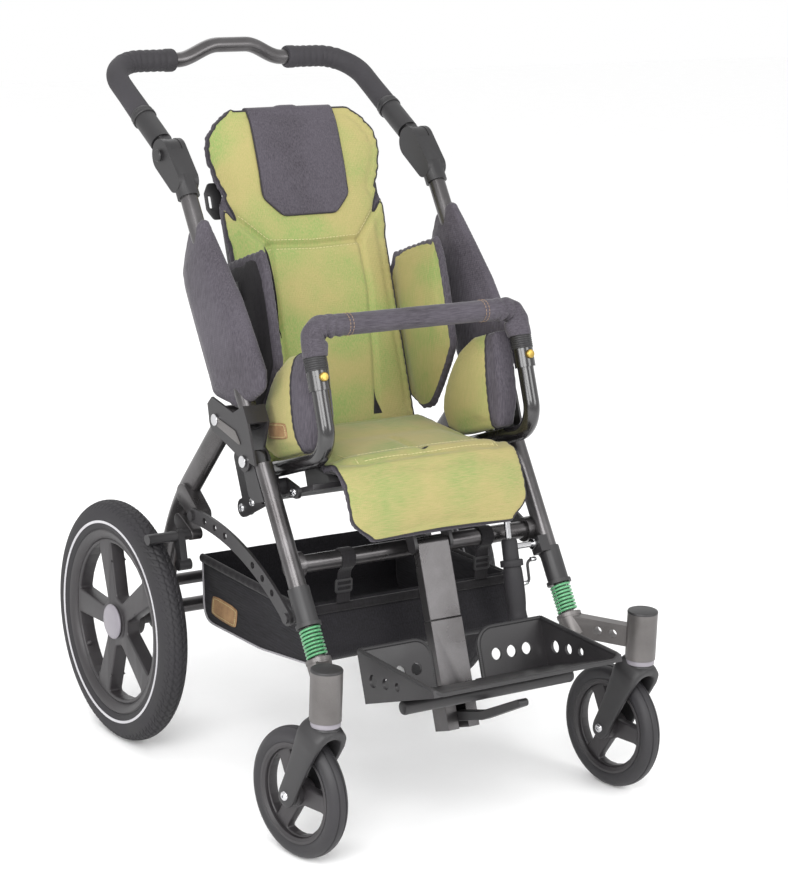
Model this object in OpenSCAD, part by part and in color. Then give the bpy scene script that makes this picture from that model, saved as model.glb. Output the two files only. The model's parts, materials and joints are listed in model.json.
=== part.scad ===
// Special needs buggy: a folding wheeled chassis with a tilting seat unit.
// Front of the buggy faces -Y, +Z is up and the occupant's left is +X.
// The origin lies on the floor, on the centre plane, midway between front and back.

/* [Rear wheels] */
// Diameter of a rear tyre
rear_wheel_d = 400; // [380:1:420]
// Width of a rear tyre
rear_tyre_w = 46; // [40:1:50]
// Distance of a rear wheel's middle plane outside the rear leg
rear_out = 70.4; // [68:0.2:78]
// Diameter of the rim where the tyre seats
rear_rim_d = 304; // [290:1:310]
// Number of spokes of a rear wheel
rear_spokes = 5; // [3:1:7]
// Diameter of the rear axle stubs
rear_axle_d = 12; // [10:0.5:14]

/* [Casters] */
// Diameter of a caster tyre
caster_d = 200; // [190:1:204]
// Width of a caster tyre
caster_w = 34; // [28:1:36]
// Distance from the swivel axis to the caster axle
caster_trail = 53; // [45:1:58]
// Distance of a swivel axis outside the front leg
caster_out = 57; // [54:0.5:61]
// Distance of the swivel axes in front of the rear axle
caster_ahead = 617.5; // [612:0.5:622]
// Height of the stem housing's lower end
housing_low = 228.3; // [226:0.1:232]
// Height of a stem housing
housing_h = 76; // [70:1:80]
// Outside diameter of a stem housing
housing_d = 48; // [44:1:50]
// Diameter of the swivel stem
stem_d = 20; // [16:1:22]
// Diameter of the caster axle
caster_axle_d = 10; // [8:0.5:12]
// Swivel angle at which the left caster stands
caster_yaw_left = 5.7; // [0:0.1:15]
// Swivel angle at which the right caster stands
caster_yaw_right = 8.1; // [0:0.1:15]

/* [Chassis] */
// Distance of a front leg's middle outside the seat's side plate
leg_out = 42.5; // [42:0.5:44]
// Outside diameter of a front leg and of a handle stem
leg_d = 28; // [26:0.5:29]
// Wall of a front leg, bored for the suspension guide
leg_wall = 4; // [3:0.5:5]
// Lean of the front legs and handle stems from upright
leg_lean = 33.3; // [32:0.1:35]
// Distance of a front leg's lower end in front of the rear axle
leg_ahead = 475; // [472:1:478]
// Height of a front leg's lower end
leg_low = 318; // [315:1:321]
// Length of a front leg tube
leg_len = 262; // [255:1:264]
// Distance along the leg from its lower end to the crossbar
crossbar_up = 102; // [98:1:106]
// Set-back of the crossbar behind the leg's axis
crossbar_back = 17.9; // [16:0.1:19]
// Diameter of the front crossbar
crossbar_d = 28; // [26:0.5:29]
// Wall of the crossbar
tube_wall = 2.5; // [1.5:0.5:3]
// Height of the oval rear leg profile
rear_leg_h = 40; // [36:1:44]
// Width of the oval rear leg profile
rear_leg_w = 25; // [22:1:26]
// Inset of a rear leg's middle from the front leg's
rear_leg_inset = 2.5; // [1.5:0.5:3.5]
// Lean of a rear leg's lower stretch from upright
rear_leg_lean = 16.4; // [15:0.1:18]
// Bend radius of a rear leg
rear_leg_bend = 350; // [300:5:400]
// Diameter of the fold pins
pin_d = 12; // [10:0.5:13]

/* [Springs] */
// Length of a front spring as it stands
spring_len = 50; // [46:1:54]
// Mean diameter of a spring
spring_d = 30; // [28:0.5:31]
// Wire diameter
spring_wire = 4.2; // [3:0.1:4.4]
// Number of curls in a spring
spring_curls = 8; // [6:1:8]

/* [Push handle] */
// Length of a stem tube
stem_len = 404; // [395:1:412]
// Rise of the handle's arms above level
handle_rise = 28.6; // [20:0.1:35]
// Reach of the handle behind its pivots
handle_reach = 256; // [245:1:265]
// Diameter of the handle tube
handle_d = 25; // [22:0.5:26]
// Bend radius of the handle
handle_bend = 80; // [70:1:90]
// Outside diameter of the foam grips
grip_d = 36; // [32:0.5:38]
// Width of the bare stretch between the grips
bare_w = 202; // [190:2:214]
// Height of the crown in the middle of the handle
handle_crown = 22; // [15:1:25]

/* [Seat unit] */
// Tilt of the seat unit as it stands
seat_tilt = 20.5; // [18:0.1:22]
// Width of the seat cushion
seat_w = 334; // [310:2:336]
// Width of the back cushion at the trunk
back_w = 302; // [280:2:306]
// Width of the head part of the back cushion
head_w = 330; // [300:2:340]
// Height of the back cushion above the seat frame's datum
back_top = 744; // [730:1:750]
// Thickness of the seat cushion
seat_t = 31; // [26:1:31]
// Rise of the seat board towards the back, which keeps the seat level
seat_rise = 76; // [70:1:78]
// Thickness of the back cushion
back_t = 34; // [28:1:35]
// Distance of an armrest tube's middle outside the seat's side plate
arm_out = 4; // [3:0.5:6]
// Diameter of an armrest tube
arm_d = 26; // [24:0.5:26]
// Height of an armrest tube above the seat frame's datum
arm_z = 152; // [151:0.5:156]
// Distance of the armrest uprights in front of the datum
arm_front = 107; // [104:1:112]
// Height of the bumper bar above the datum
bumper_z = 346; // [340:1:355]
// Diameter of the padded bumper cover
bumper_cover_d = 34; // [30:1:38]

/* [Legrest] */
// Width of the legrest post
post_w = 58; // [54:1:60]
// Depth of the legrest post
post_t = 20; // [18:0.5:21]
// Length of the fixed upper part of the post
post_len = 118; // [112:1:122]
// Depth of the footplate
tray_depth = 192; // [180:1:194]
// Width of the footplate
tray_w = 344; // [330:2:350]
// Height of the footplate's rear wall
tray_wall_h = 75; // [65:1:80]
// Distance of the footplate's floor below the datum
tray_drop = 217; // [215:0.5:220]

/* [Basket] */
// Width of the basket
basket_w = 380; // [360:2:390]
// Wall of the basket
basket_wall = 3; // [2:0.5:4]

/* [Hidden] */
$fn = 64;
run = 0.05;       // radial clearance of a running fit
gap = 0.3;        // clearance between pieces of different bodies
rear_axle_y = 250;
rear_r = rear_wheel_d / 2;
caster_r = caster_d / 2;
side_t = 6;
side_clear = 19;  // from the seat cushion's edge to the seat's side plate
side_x = seat_w / 2 + side_clear;
arm_x = side_x + arm_out;
leg_x = side_x + side_t + leg_out;
stem_x = leg_x + caster_out;
rleg_x = leg_x - rear_leg_inset;
rear_x = rleg_x + rear_out;
rleg_in = rleg_x - rear_leg_w / 2;
rleg_out = rleg_x + rear_leg_w / 2;
guide_d = leg_d - 2 * leg_wall - 2 * run;

// Points in the front leg's own frame, [behind the axis, along the leg]
fold_pin = [23.8, 277];
rear_pin = [72, 364];
strut_low = [22.4, 24.3];
seat_pin = [29.9, 231.4];
lobe_r = 15;
ear_r = 16;
stem_clear = 32;  // from the leg's lobe to the stem's foot
stem_foot = fold_pin[1] + lobe_r + stem_clear;
handle_pin = [20.9, stem_foot + stem_len + 64];
rear_ear_r = 22;
plate_t = 4;
plate_out = leg_x + leg_d / 2 + 0.5;
plate_in = rleg_in - 1.5 - plate_t;
strut_t = 5;
strut_w = 24;
strut_x = plate_out + 1.5;
strut_pin_d = 10;
strut_sag = 26;
boot_d = 34;
boot_flange_d = 40;
boot_len = 62;
boot_lug_r = 11;

// Points in the seat unit's own frame, [behind the datum, above the datum]
crossbar = from_leg([crossbar_back, crossbar_up]);
recline_pin = [182, 105];
tilt_pin = in_seat(from_leg(seat_pin));
legrest_pin = [-46.5, 0];
tray_pin = [-72, -236];
gas_top = [-36, 92];
pan_top = 116;
pan_t = 8;
back_face = 153;
shell_y = back_face + back_t + gap;
shell_t = 8;

// Points in the buggy's frame, measured from the rear axle, [behind, above the floor]
axle = [0, rear_r];
rear_top = from_leg(rear_pin);
strut_end = [-147, 411];
brake_pin = [-122, 372];
gas_pin = [-438, 379];
gas_x = side_x - 26;
gas_lean = atan2(from_seat(gas_top)[0] - gas_pin[0], from_seat(gas_top)[1] - gas_pin[1]);

// Places and frames
function turn(p, a) = [p[0] * cos(a) - p[1] * sin(a), p[0] * sin(a) + p[1] * cos(a)];
function from_leg(p) = turn(p, -leg_lean) + [-leg_ahead, leg_low];
function from_seat(p) = turn(p, -seat_tilt) + crossbar;
function in_seat(p) = turn(p - crossbar, seat_tilt);
function unit(v) = v / norm(v);
function square_to(d) = unit(cross(d, abs(d[0]) < 0.9 ? [1, 0, 0] : [0, 1, 0]));

module place() translate([0, rear_axle_y, 0]) children();
module at_leg() place() translate([0, -leg_ahead, leg_low]) rotate([-leg_lean, 0, 0]) children();
module at_seat() place() translate([0, crossbar[0], crossbar[1]]) rotate([-seat_tilt, 0, 0]) children();
module at_handle() at_leg() translate([0, handle_pin[0], handle_pin[1]])
    rotate([handle_rise + leg_lean, 0, 0]) children();
module at_gas() place() translate([gas_x, gas_pin[0], gas_pin[1]]) rotate([-gas_lean, 0, 0]) children();
module at_caster(yaw) place() translate([0, -caster_ahead, 0]) translate([stem_x, 0, 0])
    rotate([0, 0, yaw]) children();
module right() mirror([1, 0, 0]) children();
module both() {
    children();
    right() children();
}

// Bars, tubes, slabs and links
module ring(d, wall) difference() {
    circle(d = d);
    circle(d = d - 2 * wall);
}
module rod_x(x0, x1, d, p) translate([x0, p[0], p[1]]) rotate([0, 90, 0]) cylinder(h = x1 - x0, d = d);
module slab(x0, x1) translate([x0, 0, 0]) rotate([90, 0, 90]) linear_extrude(height = x1 - x0) children();
module link(p, q, r1, r2) {
    a = atan2(q[1] - p[1], q[0] - p[0]);
    g = acos((r1 - r2) / norm(q - p));
    translate(p) circle(r = r1);
    translate(q) circle(r = r2);
    polygon([for (s = [1, -1], e = s > 0 ? [0, 1] : [1, 0])
        (e == 0 ? p : q) + (e == 0 ? r1 : r2) * [cos(a + s * g), sin(a + s * g)]]);
}
module framed(x, y, z, o) multmatrix([[x[0], y[0], z[0], o[0]], [x[1], y[1], z[1], o[1]],
    [x[2], y[2], z[2], o[2]], [0, 0, 0, 1]]) children();
// A straight or bent bar through the points, with the same bend radius at each corner
module bent_bar(pts, bend = 1, across = undef) {
    last = len(pts) - 1;
    way = [for (i = [0:last - 1]) unit(pts[i + 1] - pts[i])];
    swing = [for (i = [0:last]) i == 0 || i == last ? 0 : acos(min(1, way[i - 1] * way[i]))];
    cut = [for (s = swing) bend * tan(s / 2)];
    for (i = [0:last - 1]) {
        n = is_undef(across) ? square_to(way[i]) : across;
        p = pts[i] + way[i] * cut[i];
        q = pts[i + 1] - way[i] * cut[i + 1];
        framed(cross(way[i], n), -n, way[i], p) linear_extrude(height = norm(q - p)) children();
    }
    if (last > 1) for (i = [1:last - 1]) {
        n = unit(cross(way[i - 1], way[i]));
        m = cross(n, way[i - 1]);
        framed(-m, way[i - 1], n, pts[i] - way[i - 1] * cut[i] + m * bend)
            rotate_extrude(angle = swing[i]) translate([bend, 0]) children();
    }
}

// A stuffed pad: rows of points along a path in the [y, z] plane, each as wide as its row says.
// The pad is thickest in the middle, thins to its edge, and dips along its sewn rows.
function bulge(t) = 1 - pow(abs(t), 3);
function way_at(path, i) = unit(path[min(i + 1, len(path) - 1)] - path[max(i - 1, 0)]);
function pad_points(path, low, high, edge, full, sewn, cols, side) =
    [for (i = [0:len(path) - 1], j = [0:cols])
    let (d = way_at(path, i), across = 2 * j / cols - 1, along = 2 * i / (len(path) - 1) - 1,
        seam = search(i, sewn) == [] ? 1 : 0.72,
        t = edge / 2 + (full - edge) / 2 * bulge(across) * bulge(along) * seam,
        y = path[i][0] - side * d[1] * t, z = path[i][1] + side * d[0] * t)
    [low[i] + (high[i] - low[i]) * j / cols, y, z]];
function pad_skin(rows, cols, base, flip) = [for (i = [0:rows - 2], j = [0:cols - 1], k = [0, 1])
    let (a = base + i * (cols + 1) + j, b = a + 1, c = a + cols + 1, d = c + 1)
    flip ? (k == 0 ? [a, c, b] : [b, c, d]) : (k == 0 ? [a, b, c] : [b, d, c])];
function pad_rim(rows, cols) = concat([for (i = [0:rows - 1]) i * (cols + 1)],
    [for (j = [1:cols]) (rows - 1) * (cols + 1) + j],
    [for (i = [rows - 2:-1:0]) i * (cols + 1) + cols],
    [for (j = [cols - 1:-1:1]) j]);
module pad(path, low, high, edge, full, sewn = [], cols = 10) {
    rows = len(path);
    far = rows * (cols + 1);
    rim = pad_rim(rows, cols);
    sides = [for (i = [0:len(rim) - 1], k = [0, 1])
        let (a = rim[i], b = rim[(i + 1) % len(rim)]) k == 0 ? [a, b, a + far] : [b, b + far, a + far]];
    polyhedron(points = concat(pad_points(path, low, high, edge, full, sewn, cols, 1),
            pad_points(path, low, high, edge, full, sewn, cols, -1)),
        faces = concat(pad_skin(rows, cols, 0, false), pad_skin(rows, cols, far, true), sides));
}
function steps(a, b, n) = [for (i = [0:n]) a + (b - a) * i / n];

// Front springs: one wire from seat to seat, straight for one wire diameter at each end
spring_rings = 8;
function spring_mid(i) = let (n = spring_curls * spring_rings, u = i < 0 ? 0 : i > n ? n : i,
        a = 360 * u / spring_rings, h = spring_len - 2 * spring_wire,
        z = i < 0 ? 0 : i > n ? spring_len : spring_wire + h * u / n)
    [spring_d / 2 * cos(a), spring_d / 2 * sin(a), z];
function spring_ring(i) = let (n = spring_curls * spring_rings, c = spring_mid(i),
        u = i < 0 ? 0 : i > n ? n : i, a = 360 * u / spring_rings,
        out = [cos(a), sin(a), 0], level = [-sin(a), cos(a), 0],
        side = i < 0 || i > n ? -level : i == 0 ? unit([0, 0, 1] - level) : i == n ? unit([0, 0, 1] - level)
            : unit([0, 0, 1] - level * (spring_len - 2 * spring_wire) / (spring_curls * PI * spring_d)))
    [for (k = [0:5]) c + spring_wire / 2 * (cos(60 * k) * out + sin(60 * k) * side)];
spring_count = spring_curls * spring_rings + 3;
spring_gap = min([for (i = [0:spring_count - 8], j = [i + 6:spring_count - 2])
    norm(spring_mid(i) - spring_mid(j))]) - spring_wire;
echo(least_gap_between_spring_curls = spring_gap);
module spring() translate([leg_x, 0, -spring_len]) polyhedron(
    points = [for (i = [-1:spring_count - 2]) each spring_ring(i)],
    faces = concat([[5, 4, 3, 2, 1, 0]], [[for (k = [0:5]) (spring_count - 1) * 6 + k]],
        [for (i = [0:spring_count - 2], k = [0:5], h = [0, 1])
            let (a = i * 6 + k, b = i * 6 + (k + 1) % 6) h == 0 ? [a, b, a + 6] : [b, b + 6, a + 6]]));

// Chassis
module front_leg() translate([leg_x, 0, 0]) linear_extrude(height = leg_len) ring(leg_d, leg_wall);
module left_front_leg() color("dimgray") at_leg() front_leg();
module right_front_leg() color("dimgray") at_leg() right() front_leg();

boss_d = 40;
boss_in = leg_x - leg_d / 2 - 12;
module front_crossbar() color("dimgray") {
    place() translate([-boss_in, crossbar[0], crossbar[1]]) rotate([0, 90, 0])
        linear_extrude(height = 2 * boss_in) ring(crossbar_d, tube_wall);
    at_leg() both() difference() {
        rod_x(boss_in, leg_x - 4, boss_d, [crossbar_back, crossbar_up]);
        translate([leg_x, 0, 0]) cylinder(h = leg_len, d = leg_d + 2 * run);
    }
}

trunnion_in = gas_x + 6.5;
bracket_in = leg_x - leg_d / 2 - 12;
gas_bracket_at = turn(gas_pin - [-leg_ahead, leg_low], leg_lean);
seat_pin_in = side_x - 2;
module leg_fittings() color("black") {
    at_leg() both() {
        // Lobe behind the leg's upper end, with the fold pin's bore and the seat's tilt pin
        difference() {
            union() {
                slab(leg_x - leg_d / 2 + 1, leg_x + leg_d / 2 - 0.2) {
                    link(seat_pin, fold_pin, lobe_r, lobe_r);
                    polygon([[6, 204], [6, leg_len], [24, leg_len + 8], [34, 240], [34, 212]]);
                }
                rod_x(side_x + side_t + gap, leg_x - 8, 26, seat_pin);
                rod_x(seat_pin_in, leg_x - 8, pin_d, seat_pin);
            }
            translate([leg_x, 0, 0]) cylinder(h = leg_len + 60, d = leg_d + 2 * run);
            rod_x(leg_x - 30, leg_x + 30, pin_d + 2 * run, fold_pin);
        }
        // Boot round the leg's lower end, with the spring's upper seat and the strut's lug
        difference() {
            union() {
                translate([leg_x, 0, 0]) cylinder(h = boot_len, d = boot_d);
                translate([leg_x, 0, 0]) cylinder(h = 6, d = boot_flange_d);
                slab(leg_x + 3, strut_x - gap) {
                    translate(strut_low) circle(r = boot_lug_r);
                    translate([8, strut_low[1] - boot_lug_r + 2])
                        square([strut_low[0] - 8, 2 * boot_lug_r - 4]);
                }
            }
            translate([leg_x, 0, -1]) cylinder(h = boot_len + 2, d = leg_d + 2 * run);
            rod_x(leg_x + 5, strut_x + 1, strut_pin_d + 2 * run, strut_low);
        }
    }
    // Bracket on the left leg that carries the gas strut
    at_leg() difference() {
        translate([bracket_in, gas_bracket_at[0] - 14, gas_bracket_at[1] - 17]) cube([18, 26, 26]);
        translate([leg_x, 0, 0]) cylinder(h = leg_len, d = leg_d + 2 * run);
        rod_x(bracket_in - 1, bracket_in + 8, caster_axle_d + 2 * run, gas_bracket_at);
    }
}
module trunnion_pin() color("silver") at_leg() {
    rod_x(trunnion_in, bracket_in + 7.5, caster_axle_d, gas_bracket_at);
    difference() {
        rod_x(bracket_in - 6, bracket_in - run, 18, gas_bracket_at);
        rod_x(bracket_in - 7, bracket_in, caster_axle_d - 1, gas_bracket_at);
    }
}
module left_spring() color("mediumseagreen") at_leg() spring();
module right_spring() color("mediumseagreen") at_leg() right() spring();

// Basket: an open bag of mesh on a hoop, hung by straps from the crossbar
basket_side = [[-75, 204], [-258, 209], [-445, 234], [-385, 322], [-65, 318]];
basket_hollow = [[-78.5, 207.2], [-258, 212.2], [-439.5, 236.5], [-375.5, 330], [-68.5, 330]];
hoop_d = 9;
hoop_x = basket_w / 2 + hoop_d / 2 + 0.2;
hoop_back = [-75, 314];
hoop_front = [-398, 314];
strap_x = 130;
strap_w = 24;
module basket() color([0.12, 0.12, 0.13]) place() {
    difference() {
        union() {
            slab(-basket_w / 2, basket_w / 2) polygon(basket_side);
            for (s = [-1, 1]) slab(s * strap_x - strap_w / 2, s * strap_x + strap_w / 2)
                translate([crossbar[0] - 1, 290]) square([2, crossbar[1] - crossbar_d / 2 - gap - 290]);
        }
        slab(-basket_w / 2 + basket_wall, basket_w / 2 - basket_wall) polygon(basket_hollow);
    }
    bent_bar([for (p = [[-1, hoop_back], [-1, hoop_front], [1, hoop_front], [1, hoop_back]])
        at_x(p[0] * hoop_x, p[1])], 14, [0, 0, 1]) circle(d = hoop_d);
}

// Rear frame
rear_foot_way = [sin(-rear_leg_lean), cos(rear_leg_lean)];
rear_top_way = unit([-105, 452] - rear_top);
function cross_of(a, b) = a[0] * b[1] - a[1] * b[0];
knee_s = cross_of(axle - rear_top, rear_foot_way) / cross_of(rear_top_way, rear_foot_way);
knee = rear_top + rear_top_way * knee_s;
axle_boss_r = 23;
function at_x(x, p) = [x, p[0], p[1]];
brake_end = rear_x - rear_tyre_w / 2 - 3;
// The curved bar's side view: its bend is a run of short chords about the bend's centre
rear_swing = acos(-rear_foot_way * rear_top_way);
rear_cut = rear_leg_bend * tan(rear_swing / 2);
rear_centre = knee - rear_top_way * rear_cut + rear_leg_bend * [rear_top_way[1], -rear_top_way[0]];
function rear_edge(off) = concat([rear_top - off * [rear_top_way[1], -rear_top_way[0]]],
    [for (a = steps(0, rear_swing, 12)) rear_centre - (rear_leg_bend + off)
        * turn([rear_top_way[1], -rear_top_way[0]], -a)],
    [axle + off * turn(rear_foot_way, -90)]);
function reversed(v) = [for (i = [len(v) - 1:-1:0]) v[i]];
module rear_bar(h) polygon(concat(rear_edge(h / 2), reversed(rear_edge(-h / 2))));
module rear_leg() difference() {
    union() {
        slab(rleg_x - 8, rleg_x + 8) rear_bar(rear_leg_h);
        slab(rleg_in, rleg_out) {
            rear_bar(rear_leg_h - 8);
            translate(rear_top) circle(r = rear_leg_h / 2);
            translate(axle) circle(r = axle_boss_r);
        }
        slab(rleg_x - 6, strut_x - gap) link([-104, 434], strut_end, 18, 13);
        slab(rleg_x - 6, rleg_out + 1.5) link([-84, 384], brake_pin, 13, 10);
        rod_x(rleg_x, brake_end - 4, strut_pin_d, brake_pin);
    }
    rod_x(rleg_in - 1, rleg_out + 1, pin_d + 2 * run, rear_top);
    rod_x(rleg_in - 1, rleg_out + 1, rear_axle_d + 2 * run, axle);
    rod_x(strut_x - 12, strut_x + 1, strut_pin_d, strut_end);
}
module left_rear_leg() color("dimgray") place() rear_leg();
module right_rear_leg() color("dimgray") place() right() rear_leg();
low_tube = [0, 208];
high_tube = axle + rear_foot_way * 64;
module cross_tube(p, d) translate([-rleg_in, p[0], p[1]]) rotate([0, 90, 0])
    linear_extrude(height = 2 * rleg_in) ring(d, tube_wall);
module rear_cross_tubes() color("dimgray") place() {
    cross_tube(low_tube, 24);
    cross_tube(high_tube, 20);
}
hub_in = rear_x - rear_tyre_w / 2 - 9;
hub_out = rear_x + rear_tyre_w / 2 - 6;
module rear_axles() color("silver") place() both() {
    rod_x(rleg_in + 2, hub_out - 2, rear_axle_d, axle);
    difference() {
        rod_x(rleg_out + 0.2, hub_in - gap, 24, axle);
        rod_x(rleg_out, hub_in, rear_axle_d + 2 * run, axle);
    }
}

// Wheel brakes: a short lever that turns its shoe onto the front of the tyre
shoe_angle = 5;
module brake() difference() {
    union() {
        rod_x(rleg_out + 1.5 + gap, rear_x + rear_tyre_w / 2 - 4, 17, brake_pin);
        slab(brake_end, rear_x + rear_tyre_w / 2 - 4)
            link(brake_pin, brake_pin + 4 * [cos(shoe_angle), sin(shoe_angle)], 8.5, 7);
        slab(brake_end - 18, brake_end - 6) link(brake_pin, brake_pin + [-16, -44], 10, 6);
        slab(brake_end - 24, brake_end - 2) translate(brake_pin + [-16, -44]) circle(r = 9);
    }
    rod_x(rleg_out, brake_end - 3, strut_pin_d + 2 * run, brake_pin);
}
module left_brake() color("black") place() brake();
module right_brake() color("black") place() right() brake();

// Struts: curved flat bars with holes, from the front leg's boot to the rear leg
strut_low_at = from_leg(strut_low);
strut_way = unit(strut_end - strut_low_at);
strut_half = norm(strut_end - strut_low_at) / 2;
strut_r = (strut_half * strut_half + strut_sag * strut_sag) / (2 * strut_sag);
strut_mid = (strut_end + strut_low_at) / 2 - (strut_r - strut_sag) * [-strut_way[1], strut_way[0]];
function angle_at(p) = atan2(p[1] - strut_mid[1], p[0] - strut_mid[0]);
strut_from = angle_at(strut_end);
strut_span = angle_at(strut_low_at) - strut_from;
strut_hole_d = 11;
function on_strut(s) = strut_mid + strut_r * [cos(strut_from + s), sin(strut_from + s)];
module strut() {
    difference() {
        union() {
            translate([strut_x, strut_mid[0], strut_mid[1]])
                rotate([strut_from + 90, 0, 0]) rotate([0, 90, 0]) rotate_extrude(angle = strut_span)
                    translate([strut_r - strut_w / 2, 0]) square([strut_w, strut_t]);
            slab(strut_x, strut_x + strut_t)
                for (p = [strut_end, strut_low_at]) translate(p) circle(d = strut_w);
        }
        for (s = [5, 9, 13, 24, 28, 32])
            rod_x(strut_x - 1, strut_x + strut_t + 1, strut_hole_d, on_strut(s));
    }
    rod_x(leg_x + 5 + gap, strut_x + strut_t + 3, strut_pin_d, strut_low_at);
    for (p = [strut_end, strut_low_at]) rod_x(strut_x + strut_t - 0.5, strut_x + strut_t + 4, 16, p);
}
module left_strut() color([0.25, 0.25, 0.27]) place() strut();
module right_strut() color([0.25, 0.25, 0.27]) place() right() strut();

// Rear wheels
// Section of a tyre: a round crown over straight sidewalls
function tyre_section(seat, r, w) = concat(
    [[seat, -w * 0.36], [seat + 4, -w * 0.44], [r - w * 0.42, -w / 2]],
    [for (a = steps(-70, 70, 8)) [r - w * 0.42 + w * 0.42 * cos(a), w / 2 * sin(a) * 0.94]],
    [[r - w * 0.42, w / 2], [seat + 4, w * 0.44], [seat, w * 0.36]]);
module wheel_at(x, p) translate([x, p[0], p[1]]) rotate([0, 90, 0]) children();
module tyre() wheel_at(rear_x, axle) rotate_extrude($fn = 128)
    polygon(tyre_section(rear_rim_d / 2, rear_r, rear_tyre_w));
rim_w = rear_tyre_w * 0.72;
rim_ring = 15;
hub_r = 27;
spoke_w = 44;
spoke_t = 20;
module rim() difference() {
    union() {
        wheel_at(rear_x, axle) {
            rotate_extrude($fn = 128) translate([rear_rim_d / 2 - rim_ring, -rim_w / 2])
                square([rim_ring, rim_w]);
            translate([0, 0, -spoke_t / 2]) linear_extrude(height = spoke_t) {
                circle(r = hub_r + 9);
                for (k = [0:rear_spokes - 1]) rotate(90 + 360 * k / rear_spokes)
                    polygon([[hub_r, -spoke_w / 2 + 4], [rear_rim_d / 2 - rim_ring / 2, -spoke_w * 0.36],
                        [rear_rim_d / 2 - rim_ring / 2, spoke_w * 0.36], [hub_r, spoke_w / 2 - 4]]);
            }
        }
        rod_x(hub_in, hub_out, 2 * hub_r, axle);
    }
    rod_x(hub_in - 1, hub_out + 1, rear_axle_d + 2 * run, axle);
}
cap_out = rear_x + rear_tyre_w / 2 - 1;
cap_h = cap_out - hub_out;
module hub_cap() wheel_at(hub_out, axle) rotate_extrude()
    polygon([[0, 0], [29, 0], [29, 2], [24, cap_h - 1], [20, cap_h], [0, cap_h]]);
module left_tyre() color([0.1, 0.1, 0.1]) place() tyre();
module left_rim() color([0.2, 0.2, 0.21]) place() rim();
module left_hub_cap() color("lightgray") place() hub_cap();
module right_tyre() color([0.1, 0.1, 0.1]) place() right() tyre();
module right_rim() color([0.2, 0.2, 0.21]) place() right() rim();
module right_hub_cap() color("lightgray") place() right() hub_cap();

// Casters
arm_foot = from_leg([0, -spring_len - 22]);
arm_mid_z = housing_low + 34;
arm_way = unit([stem_x - leg_x, -caster_ahead - arm_foot[0]]);
arm_len = norm([stem_x - leg_x, -caster_ahead - arm_foot[0]]);
module caster_arm() difference() {
    union() {
        at_leg() translate([leg_x, 0, 0]) {
            translate([0, 0, -spring_len - 38]) cylinder(h = 38, d = 38);
            translate([0, 0, -spring_len - 6]) cylinder(h = 6, d = boot_flange_d);
            translate([0, 0, -spring_len - 6]) cylinder(h = spring_len + 6 + 70, d = guide_d);
        }
        place() {
            translate([leg_x, arm_foot[0], arm_mid_z - 17]) rotate([0, 0, atan2(arm_way[1], arm_way[0])])
                translate([0, -10, 0]) cube([arm_len, 20, 34]);
            translate([stem_x, -caster_ahead, housing_low]) cylinder(h = housing_h, d = housing_d);
        }
    }
    place() {
        translate([stem_x, -caster_ahead, housing_low - 1])
            cylinder(h = housing_h - 5, d = stem_d + 2 * run);
        for (s = [0.4, 0.62]) translate([leg_x, arm_foot[0], arm_mid_z])
            rotate([0, 0, atan2(arm_way[1], arm_way[0])]) translate([arm_len * s, 0, 0])
                rotate([90, 0, 0]) cylinder(h = 40, d = 14, center = true);
    }
}
module left_caster_arm() color("gray") caster_arm();
module right_caster_arm() color("gray") right() caster_arm();
caster_axle = [caster_trail, caster_r];
cheek_in = caster_w / 2 + 2.5;
cheek_t = 9;
crown_low = 2 * caster_r + 4;
module fork() {
    difference() {
        union() {
            both() slab(cheek_in, cheek_in + cheek_t) {
                link([4, crown_low - 4], caster_axle, 23, 18);
                translate([-20, crown_low]) square([48, 20]);
            }
            translate([-cheek_in - cheek_t, -20, crown_low]) cube([2 * (cheek_in + cheek_t), 48, 20]);
            translate([0, 0, crown_low]) cylinder(h = housing_low - gap - crown_low, d = 39);
            translate([0, 0, crown_low]) cylinder(h = housing_low + housing_h - 8 - crown_low, d = stem_d);
        }
        rod_x(-cheek_in, cheek_in, 2 * (caster_r + 3.5), caster_axle);
        rod_x(-60, 60, caster_axle_d + 2 * run, caster_axle);
    }
    rod_x(-cheek_in - cheek_t - 4, cheek_in + cheek_t + 4, caster_axle_d, caster_axle);
    both() rod_x(cheek_in + cheek_t + 0.1, cheek_in + cheek_t + 4, 17, caster_axle);
}
module left_caster_fork() color("black") at_caster(caster_yaw_left) fork();
module right_caster_fork() color("black") place_right(caster_yaw_right) fork();
module place_right(yaw) place() translate([-stem_x, -caster_ahead, 0]) rotate([0, 0, yaw]) children();
caster_seat = caster_r - 24;
module caster_tyre() wheel_at(0, caster_axle) rotate_extrude($fn = 96) difference() {
    polygon(tyre_section(caster_seat, caster_r, caster_w));
    for (s = [-1, 1]) translate([caster_r - 3.5, s * 6 - 0.8]) square([6, 1.6]);
}
module caster_rim() difference() {
    wheel_at(0, caster_axle) {
        rotate_extrude($fn = 96) translate([caster_seat - 9, -caster_w * 0.36])
            square([9, caster_w * 0.72]);
        translate([0, 0, -cheek_in + 1]) cylinder(h = 2 * cheek_in - 2, d = 36);
        for (k = [0:2]) rotate([0, 0, 30 + 120 * k]) translate([0, 0, -7]) linear_extrude(height = 14)
            polygon([[8, -15], [caster_seat - 5, -11], [caster_seat - 5, 11], [8, 15]]);
    }
    rod_x(-40, 40, caster_axle_d + 2 * run, caster_axle);
}
module left_caster_tyre() color([0.1, 0.1, 0.1]) at_caster(caster_yaw_left) caster_tyre();
module left_caster_rim() color([0.2, 0.2, 0.21]) at_caster(caster_yaw_left) caster_rim();
module right_caster_tyre() color([0.1, 0.1, 0.1]) place_right(caster_yaw_right) caster_tyre();
module right_caster_rim() color([0.2, 0.2, 0.21]) place_right(caster_yaw_right) caster_rim();

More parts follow.
